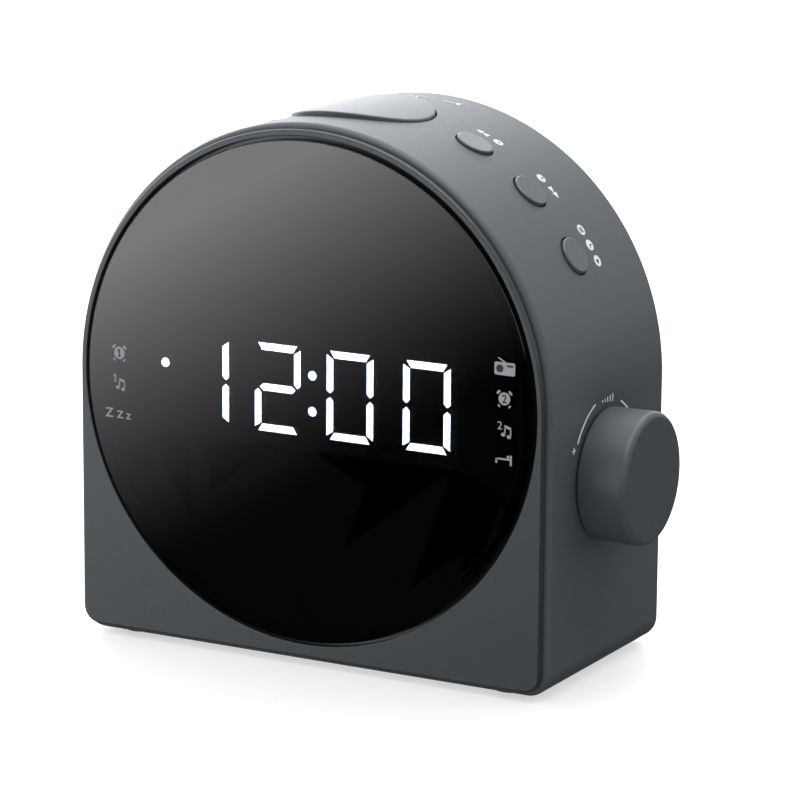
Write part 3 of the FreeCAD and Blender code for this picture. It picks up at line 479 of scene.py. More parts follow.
def pick(piece, kind, test):
    """Edit mode, with the vertices, edges or faces whose points pass the test selected."""
    only(piece)
    bpy.ops.object.mode_set(mode="EDIT")
    bpy.ops.mesh.select_mode(type=kind)
    bpy.ops.mesh.select_all(action="DESELECT")
    bpy.ops.object.mode_set(mode="OBJECT")
    mesh = piece.data
    if kind == "VERT":
        for vertex in mesh.vertices:
            vertex.select = test([vertex.co])
    else:
        for item in mesh.edges if kind == "EDGE" else mesh.polygons:
            item.select = test([mesh.vertices[i].co for i in item.vertices])
    bpy.ops.object.mode_set(mode="EDIT")


def level(points, axis, value):
    return all(abs(p[axis] - value) < TINY for p in points)


def around(points, spot, radius, slack=0.02 * MM):
    """Whether all points are at that distance from a line along Y through (x, z)."""
    return all(abs(math.hypot(p.x - spot[0], p.z - spot[1]) - radius) < slack for p in points)


def push(x=0.0, y=0.0, z=0.0):
    bpy.ops.mesh.extrude_region_move(TRANSFORM_OT_translate={"value": (x, y, z)})


def rod(radius, start, end, steps=96):
    """A round boss or cutter from one point to another."""
    start, end = Vector(start), Vector(end)
    along = end - start
    only(None)
    bpy.ops.mesh.primitive_cylinder_add(
        vertices=steps,
        radius=radius,
        depth=along.length,
        location=(start + end) / 2,
        rotation=along.to_track_quat("Z", "Y").to_euler(),
    )
    return settle("rod")


def block(low, high, round_off=0.0, along=None):
    """A box between two corners, with the edges along one axis rounded."""
    low, high = Vector(low), Vector(high)
    only(None)
    bpy.ops.mesh.primitive_cube_add(size=1, location=(low + high) / 2, scale=high - low)
    made = settle("block")
    if round_off:
        pick(made, "EDGE", lambda p: abs(p[0][along] - p[1][along]) > TINY)
        bpy.ops.mesh.bevel(offset=round_off, segments=6)
        only(made)
    return made


def joined(pieces):
    """One object out of several, none of which touch."""
    only(pieces[0])
    for piece in pieces[1:]:
        piece.select_set(True)
    if len(pieces) > 1:
        bpy.ops.object.join()
    return pieces[0]


def combine(piece, tools, operation):
    """Cut the tools out of a piece, or weld them to it."""
    tool = joined(tools)
    step = piece.modifiers.new("combine", "BOOLEAN")
    step.operation = operation
    step.solver = "EXACT"
    step.object = tool
    only(piece)
    bpy.ops.object.modifier_apply(modifier=step.name)
    if not piece.data.polygons:
        raise RuntimeError(piece.name + " was lost in a boolean step")
    bpy.data.objects.remove(tool)


def smooth(piece, degrees=30.0):
    """Smooth shading that keeps real edges crisp and large flats flat."""
    only(piece)
    bpy.ops.object.shade_smooth_by_angle(angle=math.radians(degrees))
    flats = piece.modifiers.new("flats", "WEIGHTED_NORMAL")
    flats.keep_sharp = True
    bpy.ops.object.modifier_apply(modifier=flats.name)


def finished(piece, name, body, slot, material, *nodes):
    """Name a piece, give it its finish, and let it ride and stand for its CAD nodes."""
    piece.name = piece.data.name = name
    piece.data.materials.clear()
    piece.data.materials.append(material)
    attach(piece, body)
    if nodes:
        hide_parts(*nodes)
    return piece


def spot(x, y, z):
    """A point given in millimetres from the housing's middle plane."""
    return Vector((MIDDLE + x * MM, y * MM, z * MM))


def on_arch(reach, degrees, y=0.0):
    """A point at a distance from the arch's middle, both in metres."""
    turn = math.radians(degrees)
    return Vector((MIDDLE + reach * math.cos(turn), y, ARCH + reach * math.sin(turn)))


def arch_rod(radius, degrees, reach_from, reach_to, y=0.0, steps=96):
    return rod(radius, on_arch(reach_from, degrees, y), on_arch(reach_to, degrees, y), steps)


def spin(piece, degrees, axis, centre):
    """Turn a piece about an axis through a point, and put the turn into its mesh."""
    only(piece)
    bpy.ops.transform.rotate(
        value=math.radians(degrees), orient_axis=axis, center_override=centre
    )
    bpy.ops.object.transform_apply(location=True, rotation=True, scale=True)


def swing(piece, degrees):
    """Carry a piece made at the top of the arch round to an angle on it."""
    spin(piece, degrees - 90, "Y", (MIDDLE, 0, ARCH))


def deep_rods(radius, y0, y1, places, steps):
    """Rods along Y at places (x, z); everything is in millimetres."""
    return [rod(radius * MM, spot(x, y0, z), spot(x, y1, z), steps) for x, z in places]


def upright_rods(radius, z0, z1, places, steps):
    """Rods along Z at places (x, y); everything is in millimetres."""
    return [rod(radius * MM, spot(x, y, z0), spot(x, y, z1), steps) for x, y in places]


def arch_block(inset, y0, y1, steps=360):
    """A solid with the housing's arched outline, drawn in by inset."""
    low = FLOOR + inset
    only(None)
    bpy.ops.mesh.primitive_circle_add(
        vertices=steps,
        radius=HALF - inset,
        fill_type="NOTHING",
        location=(MIDDLE, y0, ARCH),
        rotation=(math.pi / 2, 0, 0),
    )
    made = settle("arch")
    pick(made, "VERT", lambda p: p[0].z < ARCH - TINY)
    bpy.ops.mesh.delete(type="VERT")
    pick(made, "VERT", lambda p: p[0].z < ARCH + TINY)
    bpy.ops.mesh.extrude_vertices_move(TRANSFORM_OT_translate={"value": (0, 0, low - ARCH)})
    bpy.ops.mesh.edge_face_add()
    bpy.ops.mesh.select_all(action="SELECT")
    bpy.ops.mesh.edge_face_add()
    pick(made, "VERT", lambda p: p[0].z < low + TINY)
    bpy.ops.mesh.bevel(offset=max(CORNER - inset, 0.8 * MM), segments=12, affect="VERTICES")
    bpy.ops.mesh.select_all(action="SELECT")
    push(y=y1 - y0)
    bpy.ops.mesh.select_all(action="SELECT")
    bpy.ops.mesh.normals_make_consistent(inside=False)
    only(made)
    return made


def arch_ring(inset, thick, y0, y1):
    """A hoop with the housing's outline."""
    hoop = arch_block(inset, y0, y1)
    combine(hoop, [arch_block(inset + thick, y0 - MM, y1 + MM)], "DIFFERENCE")
    return hoop


# ---- what a user may change -----------------------------------------------------------
def length(name, description, default):
    return bpy.props.FloatProperty(
        name=name, description=description, default=default, min=0.0, precision=5,
        subtype="DISTANCE", unit="LENGTH",
    )  # fmt: skip


def tint(name, description, code):
    return bpy.props.FloatVectorProperty(
        name=name, description=description, default=linear(code)[:3], min=0.0, max=1.0,
        size=3, subtype="COLOR",
    )  # fmt: skip


class ClockRadioSizes(bpy.types.PropertyGroup):
    """Sizes of the roundings, slots and prints."""

    shell_round: length("Shell edge", "Rounding of the housing's outer edges", 1.4 * MM)
    wall: length("Shell wall", "Thickness of the housing's wall", 2.2 * MM)
    ring_round: length("Ring edge", "Rounding of the front ring's outer edge", 0.5 * MM)
    ring_inner_round: length("Ring inner edge", "Rounding beside the window", 0.22 * MM)
    window_chamfer: length("Window chamfer", "Bright bevel round the smoked window", 0.3 * MM)
    knob_round: length("Knob edge", "Rounding of the volume knob's face", 1.5 * MM)
    key_round: length("Key edge", "Rounding of the tops of the keys", 0.45 * MM)
    slot_width: length("Sound slot", "Width of a sound slot in the back", 2.0 * MM)
    slot_pitch: length("Slot pitch", "Distance from one sound slot to the next", 4.0 * MM)
    slot_reach: length("Slotted circle", "Radius of the slotted area", 20.0 * MM)
    print_thick: length("Print", "Thickness of the printed ink", 0.02 * MM)


class ClockRadioColours(bpy.types.PropertyGroup):
    """Colours of the main finishes."""

    shell: tint("Housing", "Graphite plastic of the housing", "#3a3e42")
    # the front ring's tone is set well below the housing's graphite as painted shade on the front face
    ring: tint("Front ring", "Plastic of the ring round the window", "#22282b")
    knob: tint("Knob", "Plastic of the volume knob", "#363b3f")
    keys: tint("Keys", "Plastic of the round keys and the snooze key", "#3c4044")
    ink: tint("Markings", "Ink of the markings on the housing", "#c6c9cb")
    window_ink: tint("Window markings", "Ink of the markings on the window", "#86898c")
    digits: tint("Digits", "Light of the lit digits", "#ffffff")
    floor: tint("Floor", "White table under the object", "#b4b4b4")


def sizes():
    return bpy.context.scene.clock_radio_sizes


def colour(name):
    return tuple(getattr(bpy.context.scene.clock_radio_colours, name)) + (1.0,)


# ---- housing --------------------------------------------------------------------------
class ClockRadioShell(bpy.types.Operator):
    """Build the arched sleeve with its floor, key holes, battery cup and posts"""

    bl_idname = "clock_radio.shell"
    bl_label = "Arched shell"

    def execute(self, context):
        wall = sizes().wall
        edge = sizes().shell_round
        shell = arch_block(0.0, SLEEVE_FRONT, BACK)
        pick(shell, "EDGE", lambda p: level(p, 1, SLEEVE_FRONT) or level(p, 1, BACK))
        bpy.ops.mesh.bevel(offset=edge, segments=7)
        pick(shell, "FACE", lambda p: level(p, 1, SLEEVE_FRONT) or level(p, 1, BACK))
        bpy.ops.mesh.inset(thickness=wall - edge)
        bpy.ops.mesh.delete(type="ONLY_FACE")
        bpy.ops.mesh.select_mode(type="EDGE")
        bpy.ops.mesh.select_all(action="DESELECT")
        bpy.ops.mesh.select_non_manifold(
            use_wire=False, use_multi_face=False, use_non_contiguous=False, use_verts=False
        )
        bpy.ops.mesh.bridge_edge_loops()
        bpy.ops.mesh.select_all(action="SELECT")
        bpy.ops.mesh.normals_make_consistent(inside=False)
        floor_top = FLOOR + wall
        x, y = CELL_SPOT
        ledge_back = COVER_OUT - COVER_THICK
        combine(
            shell,
            [arch_ring(wall - 0.5 * MM, 1.7 * MM, ledge_back - 1.5 * MM, ledge_back)],
            "UNION",
        )
        inside = [rod(15.1 * MM, spot(x, y, 2.4), spot(x, y, 9.6))]
        inside += upright_rods(POST_R, 2.4, 13, BOARD_POSTS, 32)
        for degrees, y_post in BRACKET_POSTS:
            inside.append(
                arch_rod(POST_R * MM, degrees, 52 * MM, 63.4 * MM, y_post * MM, steps=32)
            )
        combine(shell, inside, "UNION")
        for _, degrees in KEYS:
            combine(shell, [arch_rod(KEY_HOLE_R, degrees, 55 * MM, 70 * MM)], "DIFFERENCE")
        holes = [arch_rod(SNOOZE_HOLE_R, SNOOZE_ANGLE, 40 * MM, 70 * MM, steps=192)]
        side = MIDDLE + HALF
        holes.append(
            rod(3.6 * MM, (side - 5 * MM, KNOB_Y, KNOB_Z), (side + MM, KNOB_Y, KNOB_Z), 64)
        )
        holes += upright_rods(5, 0, 2, FOOT_SPOTS, 64)
        holes += upright_rods(PILOT_R, 7, 14, BOARD_POSTS, 24)
        for degrees, y_post in BRACKET_POSTS:
            holes.append(arch_rod(PILOT_R * MM, degrees, 51 * MM, 58 * MM, y_post * MM, steps=24))
        holes.append(rod(13.5 * MM, (*spot(x, y, 0).xy, floor_top), spot(x, y, 8.4)))
        combine(shell, holes, "DIFFERENCE")
        combine(shell, [rod(11.9 * MM, spot(x, y, -1), spot(x, y, 4))], "DIFFERENCE")
        for degrees in (60, 180, 300):
            notch = block(
                spot(x + 10, y - 3.9, -1), spot(x + 13.4, y + 3.9, 3.6), 0.5 * MM, 2
            )
            spin(notch, -degrees, "Z", spot(x, y, 0))
            combine(shell, [notch], "DIFFERENCE")
        smooth(shell)
        finish = spark_textured_abs("ABS, spark-textured, graphite", colour("shell"), 0.5)
        finished(shell, "arched_shell", "housing", "graphite_plastic", finish, "body_shell")
        return {"FINISHED"}


class ClockRadioRing(bpy.types.Operator):
    """Build the front ring with its window plate, lip, posts and long screw bosses"""

    bl_idname = "clock_radio.ring"
    bl_label = "Front ring"

    def execute(self, context):
        ring = arch_block(sizes().shell_round, RING_FACE, PARTING)
        pick(ring, "EDGE", lambda p: level(p, 1, RING_FACE))
        bpy.ops.mesh.bevel(offset=sizes().ring_round, segments=6)
        pick(ring, "FACE", lambda p: level(p, 1, PARTING))
        bpy.ops.mesh.inset(thickness=LIP_INSET - sizes().shell_round)
        push(y=LIP_DEPTH)
        bpy.ops.mesh.inset(thickness=LIP_THICK)
        push(y=PLATE_BACK - PARTING - LIP_DEPTH)
        combine(
            ring,
            [rod(RECESS_R, (MIDDLE, -0.04, ARCH), (MIDDLE, LENS_SEAT, ARCH), 360)],
            "DIFFERENCE",
        )
        pick(
            ring,
            "EDGE",
            lambda p: level(p, 1, RING_FACE) and around(p, (MIDDLE, ARCH), RECESS_R),
        )
        bpy.ops.mesh.bevel(offset=sizes().ring_inner_round, segments=3)
        only(ring)
        box_low, box_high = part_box("digit_light_box")
        margin = Vector((0.4 * MM, 0, 0.4 * MM))
        low = box_low - margin
        high = box_high + margin
        low.y, high.y = LENS_SEAT - MM, PLATE_BACK + MM
        combine(ring, [block(low, high, 0.6 * MM, 1)], "DIFFERENCE")
        start = PLATE_BACK / MM - 0.5
        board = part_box("display_board")[0].y / MM
        meet = BOSS_MEET / MM
        bosses = deep_rods(4, start, meet, CASE_BOSSES, 48)
        bosses += deep_rods(POST_R, start, board, DISPLAY_POSTS, 32)
        combine(ring, bosses, "UNION")
        pilots = deep_rods(1.55, meet - 11, meet + 1, CASE_BOSSES, 24)
        pilots += deep_rods(PILOT_R, board - 6, board + 1, DISPLAY_POSTS, 24)
        combine(ring, pilots, "DIFFERENCE")
        smooth(ring)
        # the ring's darker tone is painted shade on the front face
        finish = spark_textured_abs("ABS, spark-textured, ring", colour("ring"), 0.34)
        finished(ring, "front_ring", "housing", "bezel_plastic", finish, "front_bezel")
        return {"FINISHED"}


class ClockRadioWindow(bpy.types.Operator):
    """Build the smoked round window with its polished chamfer"""

    bl_idname = "clock_radio.window"
    bl_label = "Smoked window"

    def execute(self, context):
        window = rod(LENS_R, (MIDDLE, GLASS_FACE, ARCH), (MIDDLE, PARTING, ARCH), 360)
        pick(window, "EDGE", lambda p: level(p, 1, GLASS_FACE))
        bpy.ops.mesh.bevel(offset=sizes().window_chamfer, segments=2)
        pick(window, "EDGE", lambda p: level(p, 1, PARTING))
        bpy.ops.mesh.bevel(offset=0.1 * MM, segments=1)
        smooth(window, 20)
        finished(
            window, "smoked_window", "housing", "smoked_lens", smoked_acrylic(), "display_lens"
        )
        return {"FINISHED"}


class ClockRadioCover(bpy.types.Operator):
    """Build the flat back with its sound slots, screw wells and outlets"""

    bl_idname = "clock_radio.cover"
    bl_label = "Rear cover"

    def execute(self, context):
        inside = COVER_OUT - COVER_THICK
        cover = arch_block(LIP_INSET, inside, COVER_OUT)
        pick(cover, "EDGE", lambda p: level(p, 1, COVER_OUT))
        bpy.ops.mesh.bevel(offset=0.4 * MM, segments=4)
        only(cover)
        bosses = deep_rods(4.8, BOSS_MEET / MM, inside / MM + 0.5, CASE_BOSSES, 48)
        ears = [
            (across * SPEAKER_EAR, SPEAKER_Z / MM + upward * SPEAKER_EAR)
            for across in (-1, 1)
            for upward in (-1, 1)
        ]
        bosses += deep_rods(POST_R, 24, inside / MM + 0.5, ears, 32)
        combine(cover, bosses, "UNION")
        slots = []
        half_width = sizes().slot_width / 2
        mouth = 0.35 * MM
        for row in range(-5, 6):
            rise = row * sizes().slot_pitch
            reach = math.sqrt(max(sizes().slot_reach ** 2 - rise**2, 0.0))
            half = max(reach, 4 * MM)
            middle = Vector((MIDDLE, 0, SPEAKER_Z + rise))
            slot = block(
                middle + Vector((-half, inside - MM, -half_width)),
                middle + Vector((half, COVER_OUT - mouth, half_width)),
                half_width * 0.995,
                1,
            )
            pick(slot, "FACE", lambda p: level(p, 1, COVER_OUT - mouth))
            push(y=mouth + 0.02 * MM)
            bpy.ops.transform.resize(
                value=(1 + mouth / half, 1, 1 + mouth / half_width),
                center_override=middle + Vector((0, COVER_OUT, 0)),
            )
            only(slot)
            slots.append(slot)
        combine(cover, slots, "DIFFERENCE")
        low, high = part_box("dc_jack_body")
        jack = ((low.x + high.x) / 2, JACK_Z)
        low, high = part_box("aerial_grommet")
        aerial = ((low.x + high.x) / 2, (low.z + high.z) / 2)
        holes = [
            rod(3.6 * MM, (jack[0], inside - MM, jack[1]), (jack[0], BACK, jack[1])),
            rod(3 * MM, (aerial[0], inside - MM, aerial[1]), (aerial[0], BACK, aerial[1])),
        ]
        seat = SCREW_SEAT / MM
        holes += deep_rods(3.2, seat, 33, CASE_BOSSES, 64)
        combine(cover, holes, "DIFFERENCE")
        shanks = deep_rods(1.7, 21, seat + 1, CASE_BOSSES, 24)
        shanks += deep_rods(PILOT_R, 23, 30, ears, 24)
        combine(cover, shanks, "DIFFERENCE")
        smooth(cover)
        finish = spark_textured_abs("ABS, spark-textured, back", colour("shell"), 0.55)
        finished(cover, "back_cover", "housing", "graphite_plastic", finish, "rear_cover")
        return {"FINISHED"}


class ClockRadioKnob(bpy.types.Operator):
    """Build the volume knob: a plain drum, hollow behind its face, with hub and ribs"""

    bl_idname = "clock_radio.knob"
    bl_label = "Volume knob"

    def execute(self, context):
        start, end = KNOB_LOW.x, KNOB_HIGH.x
        face = end - 2.5 * MM
        knob = rod(KNOB_R, (start, KNOB_Y, KNOB_Z), (end, KNOB_Y, KNOB_Z), 192)
        pick(knob, "EDGE", lambda p: level(p, 0, end))
        bpy.ops.mesh.bevel(offset=sizes().knob_round, segments=8)
        pick(knob, "EDGE", lambda p: level(p, 0, start))
        bpy.ops.mesh.bevel(offset=0.25 * MM, segments=2)
        pick(knob, "FACE", lambda p: level(p, 0, start))
        bpy.ops.mesh.inset(thickness=1.35 * MM)
        push(x=face - start)
        bpy.ops.mesh.inset(thickness=KNOB_R - 6.6 * MM)
        push(x=start + 3 * MM - face)
        bpy.ops.mesh.inset(thickness=1.97 * MM)
        push(x=face - start - 3.3 * MM)
        only(knob)
        for turn in range(6):
            rib = block(
                (start + 5 * MM, KNOB_Y - 0.6 * MM, KNOB_Z + 4.2 * MM),
                (face + 0.3 * MM, KNOB_Y + 0.6 * MM, KNOB_Z + KNOB_R - 1.2 * MM),
            )
            spin(rib, 60 * turn, "X", (0, KNOB_Y, KNOB_Z))
            combine(knob, [rib], "UNION")
        smooth(knob)
        finish = spark_textured_abs("ABS, spark-textured, knob", colour("knob"), 0.46)
        finished(knob, "volume_drum", "volume_control", "knob_plastic", finish, "volume_knob")
        return {"FINISHED"}


# ---- keys -----------------------------------------------------------------------------
class ClockRadioSnooze(bpy.types.Operator):
    """Build the broad snooze key with its crowned top"""

    bl_idname = "clock_radio.snooze"
    bl_label = "Snooze key"

    def execute(self, context):
        top = ARCH + HALF + SNOOZE_TOP
        crown_z = top - SNOOZE_CROWN_R
        flange = ARCH + 59.8 * MM
        key = rod(SNOOZE_R, (MIDDLE, 0, flange), (MIDDLE, 0, top), 192)
        pick(key, "FACE", lambda p: level(p, 2, top))
        for _ in range(9):
            bpy.ops.mesh.inset(thickness=1.7 * MM)
        pick(key, "VERT", lambda p: level(p, 2, top))
        group = key.vertex_groups.new(name="crown")
        bpy.ops.object.vertex_group_assign()
        only(key)
        apex = MIDDLE + 0.01 * MM  # beside the rays that fall on the middle plane
        crown = rod(SNOOZE_CROWN_R, (apex, -0.03, crown_z), (apex, 0.03, crown_z), 1024)
        drape = key.modifiers.new("drape", "SHRINKWRAP")
        drape.target = crown
        drape.wrap_method = "PROJECT"
        drape.use_project_z = True
        drape.use_negative_direction = True
        drape.use_positive_direction = False
        drape.vertex_group = group.name
        only(key)
        bpy.ops.object.modifier_apply(modifier=drape.name)
        bpy.data.objects.remove(crown)
        key.vertex_groups.clear()

        def on_rim(points):
            return all(
                p.z > ARCH + 62 * MM
                and abs(math.hypot(p.x - MIDDLE, p.y) - SNOOZE_R) < 0.01 * MM
                for p in points
            )

        pick(key, "EDGE", on_rim)
        bpy.ops.mesh.bevel(offset=sizes().key_round, segments=5)
        pick(key, "FACE", lambda p: level(p, 2, flange))
        push()
        grow = SNOOZE_FLANGE_R / SNOOZE_R
        bpy.ops.transform.resize(value=(grow, grow, 1), center_override=(MIDDLE, 0, flange))
        push(z=-1.2 * MM)
        bpy.ops.mesh.inset(thickness=3.5 * MM)
        push(z=4.6 * MM)
        bpy.ops.mesh.inset(thickness=11.9 * MM)
        push(z=-5.6 * MM)
        only(key)
        swing(key, SNOOZE_ANGLE)
        smooth(key)
        finish = spark_textured_abs("ABS, spark-textured, snooze key", colour("keys"), 0.44)
        finished(key, "snooze_cap", "snooze_button", "key_plastic", finish, "snooze_key")
        return {"FINISHED"}


class ClockRadioKeys(bpy.types.Operator):
    """Model one round key and copy it to its six places on the arch"""

    bl_idname = "clock_radio.keys"
    bl_label = "Round keys"

    def execute(self, context):
        top = ARCH + HALF + 0.75 * MM
        shoulder = ARCH + 62 * MM
        key = rod(KEY_R, (MIDDLE, 0, shoulder), (MIDDLE, 0, top), 96)
        pick(key, "EDGE", lambda p: level(p, 2, top))
        bpy.ops.mesh.bevel(offset=sizes().key_round, segments=5)
        pick(key, "FACE", lambda p: level(p, 2, shoulder))
        push()
        grow = 6.3 * MM / KEY_R
        bpy.ops.transform.resize(value=(grow, grow, 1), center_override=(MIDDLE, 0, shoulder))
        push(z=-1 * MM)
        bpy.ops.mesh.inset(thickness=4.3 * MM)
        push(z=-3.4 * MM)
        smooth(key)
        finish = spark_textured_abs("ABS, spark-textured, round keys", colour("keys"), 0.3)
        for name, degrees in KEYS:
            only(key)
            bpy.ops.object.duplicate()
            turned = bpy.context.object
            swing(turned, degrees)
            finished(
                turned, name + "_cap", name + "_button", "key_plastic", finish, name + "_key"
            )
            middle = sum((v.co for v in turned.data.vertices), Vector()) / len(turned.data.vertices)
            low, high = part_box(name + "_key")
            if (middle - (low + high) / 2).length > 3 * MM:
                raise RuntimeError(name + " key is not where its CAD node is")
        bpy.data.objects.remove(key)
        return {"FINISHED"}


class ClockRadioFeet(bpy.types.Operator):
    """Model one rubber foot and copy it to the four corners"""

    bl_idname = "clock_radio.feet"
    bl_label = "Feet"

    def execute(self, context):
        feet = []
        for x, y in FOOT_SPOTS:
            if feet:
                only(feet[0])
                bpy.ops.object.duplicate()
                shift = spot(x, y, 0) - spot(*FOOT_SPOTS[0], 0)
                bpy.ops.transform.translate(value=shift)
                feet.append(settle("foot"))
                continue
            foot = rod(4.9 * MM, spot(x, y, 0), spot(x, y, 2), 64)
            pick(foot, "EDGE", lambda p: level(p, 2, 0.0))
            bpy.ops.mesh.bevel(offset=0.3 * MM, segments=3)
            pick(foot, "FACE", lambda p: level(p, 2, 0.0))
            bpy.ops.mesh.inset(thickness=1.6 * MM)
            bpy.ops.mesh.inset(thickness=0.3 * MM)
            bpy.ops.transform.translate(value=(0, 0, 0.2 * MM))
            only(foot)
            feet.append(foot)
        pads = joined(feet)
        smooth(pads)
        # moulded thermoplastic rubber: dull black with a soft drag to its highlights
        finish = mottled(
            "Thermoplastic rubber, black", linear("#2a2a2c"), linear("#1d1d1f"), 6 * MM, 0.75,
            0.05, 0.4 * MM, 0.02 * MM,
        )  # fmt: skip
        finished(pads, "rubber_feet", "housing", "foot_rubber", finish, "foot_pads")
        return {"FINISHED"}


# ---- printed markings -----------------------------------------------------------------
def stroke(x, y, wide, high, turn=0.0, skew=0.0):
    """A flat bar drawn about (x, y) in millimetres, in the drawing plane."""
    bpy.ops.mesh.primitive_plane_add(
        size=1, location=(x * MM, y * MM, 0), rotation=(0, 0, math.radians(turn))
    )
    bar = bpy.context.object
    bar.scale = (wide * MM, high * MM, 1)
    bar = settle("stroke")
    if skew:
        for vertex in bar.data.vertices:
            vertex.co.y += skew * (vertex.co.x - x * MM)
    pick(bar, "VERT", lambda p: True)
    bpy.ops.mesh.bevel(offset=0.15 * min(wide, high) * MM, segments=3, affect="VERTICES")
    only(bar)
    return bar


def oval(x, y, wide, high, turn=0.0):
    """A flat oval drawn about (x, y) in millimetres."""
    bpy.ops.mesh.primitive_circle_add(
        vertices=40, radius=0.5, fill_type="NGON", location=(x * MM, y * MM, 0),
        rotation=(0, 0, math.radians(turn)),
    )  # fmt: skip
    bpy.context.object.scale = (wide * MM, high * MM, 1)
    return settle("oval")


def arrow(x, y, wide, high, facing):
    """A flat triangle pointing along X."""
    bpy.ops.mesh.primitive_circle_add(
        vertices=3, radius=1, fill_type="NGON", rotation=(0, 0, -math.pi / 2 * facing)
    )
    piece = bpy.context.object
    settle("arrow")
    piece.scale = (wide / 1.5 * MM, high / math.sqrt(3) * MM, 1)
    piece.location = (x * MM, y * MM, 0)
    return settle("arrow")


def figure(text, x, y, cap_height, wide=1.0, weight=0.0):
    """A flat figure or letter centred on (x, y), cap_height millimetres tall."""
    bpy.ops.object.text_add(location=(0, 0, 0))
    label = bpy.context.object
    label.data.body = text
    label.data.size = cap_height / 0.73 * MM
    label.data.offset = weight * MM
    label.data.align_x = "CENTER"
    label.data.align_y = "CENTER"
    label.data.resolution_u = 4
    bpy.ops.object.convert(target="MESH")
    label = bpy.context.object
    ys = [v.co.y for v in label.data.vertices]
    xs = [v.co.x for v in label.data.vertices]
    label.scale.x = wide
    label.location = (
        x * MM - wide * (min(xs) + max(xs)) / 2,
        y * MM - (min(ys) + max(ys)) / 2,
        0,
    )
    return settle("figure")


def figure_one(x, y, high):
    """The figure 1 with its flag and foot."""
    return [
        stroke(x, y, 0.36, high),
        stroke(x - 0.32, y + high / 2 - 0.34, 0.72, 0.28, turn=38),
        stroke(x, y - high / 2 + 0.13, 0.95, 0.26),
    ]


def sleep(x, y, high):
    """Three Zs that shrink: the usual sign for a doze."""
    return [
        figure("Z", x - 1.3 * high, y, high, 1.1, 0.06),
        figure("Z", x, y - 0.1 * high, 0.8 * high, 1.1, 0.06),
        figure("Z", x + 1.0 * high, y - 0.2 * high, 0.6 * high, 1.1, 0.06),
    ]


def alarm_clock(x, y):
    """A bell alarm clock about 4.2 mm tall."""
    return [
        oval(x, y, 3.05, 3.05),
        oval(x - 1.55, y + 1.5, 1.25, 0.62, 45),
        oval(x + 1.55, y + 1.5, 1.25, 0.62, -45),
        oval(x - 1.4, y - 1.75, 0.85, 0.45, -45),
        oval(x + 1.4, y - 1.75, 0.85, 0.45, 45),
    ]


def notes(x, y):
    """Two beamed quavers about 3.4 mm tall."""
    return [
        oval(x - 0.55, y - 1.0, 1.15, 0.95, 12),
        oval(x + 0.95, y - 1.4, 1.15, 0.95, 12),
        stroke(x - 0.15, y - 0.05, 0.34, 2.0),
        stroke(x + 1.35, y - 0.45, 0.34, 2.0),
        stroke(x + 0.6, y + 0.75, 1.8, 0.66, skew=-0.3),
    ]


def bed(x, y):
    """A bed seen from the side, with a sleeper's head."""
    return [
        stroke(x - 0.2, y + 0.15, 3.8, 0.42),
        stroke(x - 1.9, y - 0.3, 0.5, 1.3),
        stroke(x + 1.9, y - 0.05, 0.5, 2.5),
        oval(x + 1.15, y + 0.75, 0.72, 0.72),
    ]


def pocket_radio(x, y):
    """A portable radio with its aerial out."""
    return [
        stroke(x, y - 0.4, 5.4, 3.1),
        stroke(x - 0.8, y + 1.65, 2.1, 0.32, turn=-28),
    ]


def laid(marks, origin, across, upward, target, lift):
    """Marks drawn in the plane, carried to a place on the surface and given a thickness."""
    marks = joined(marks)
    normal = across.cross(upward)
    turn = Matrix((across, upward, normal)).transposed().to_4x4()
    marks.data.transform(Matrix.Translation(origin) @ turn)
    only(marks)
    if target:
        hug = marks.modifiers.new("hug", "SHRINKWRAP")
        hug.target = target
        hug.wrap_method = "NEAREST_SURFACEPOINT"
        hug.wrap_mode = "ABOVE_SURFACE"
        hug.offset = lift
        bpy.ops.object.modifier_apply(modifier=hug.name)
    else:
        marks.data.transform(Matrix.Translation(normal * lift))
    film = marks.modifiers.new("film", "SOLIDIFY")
    film.thickness = sizes().print_thick
    film.offset = 1.0
    bpy.ops.object.modifier_apply(modifier=film.name)
    return marks


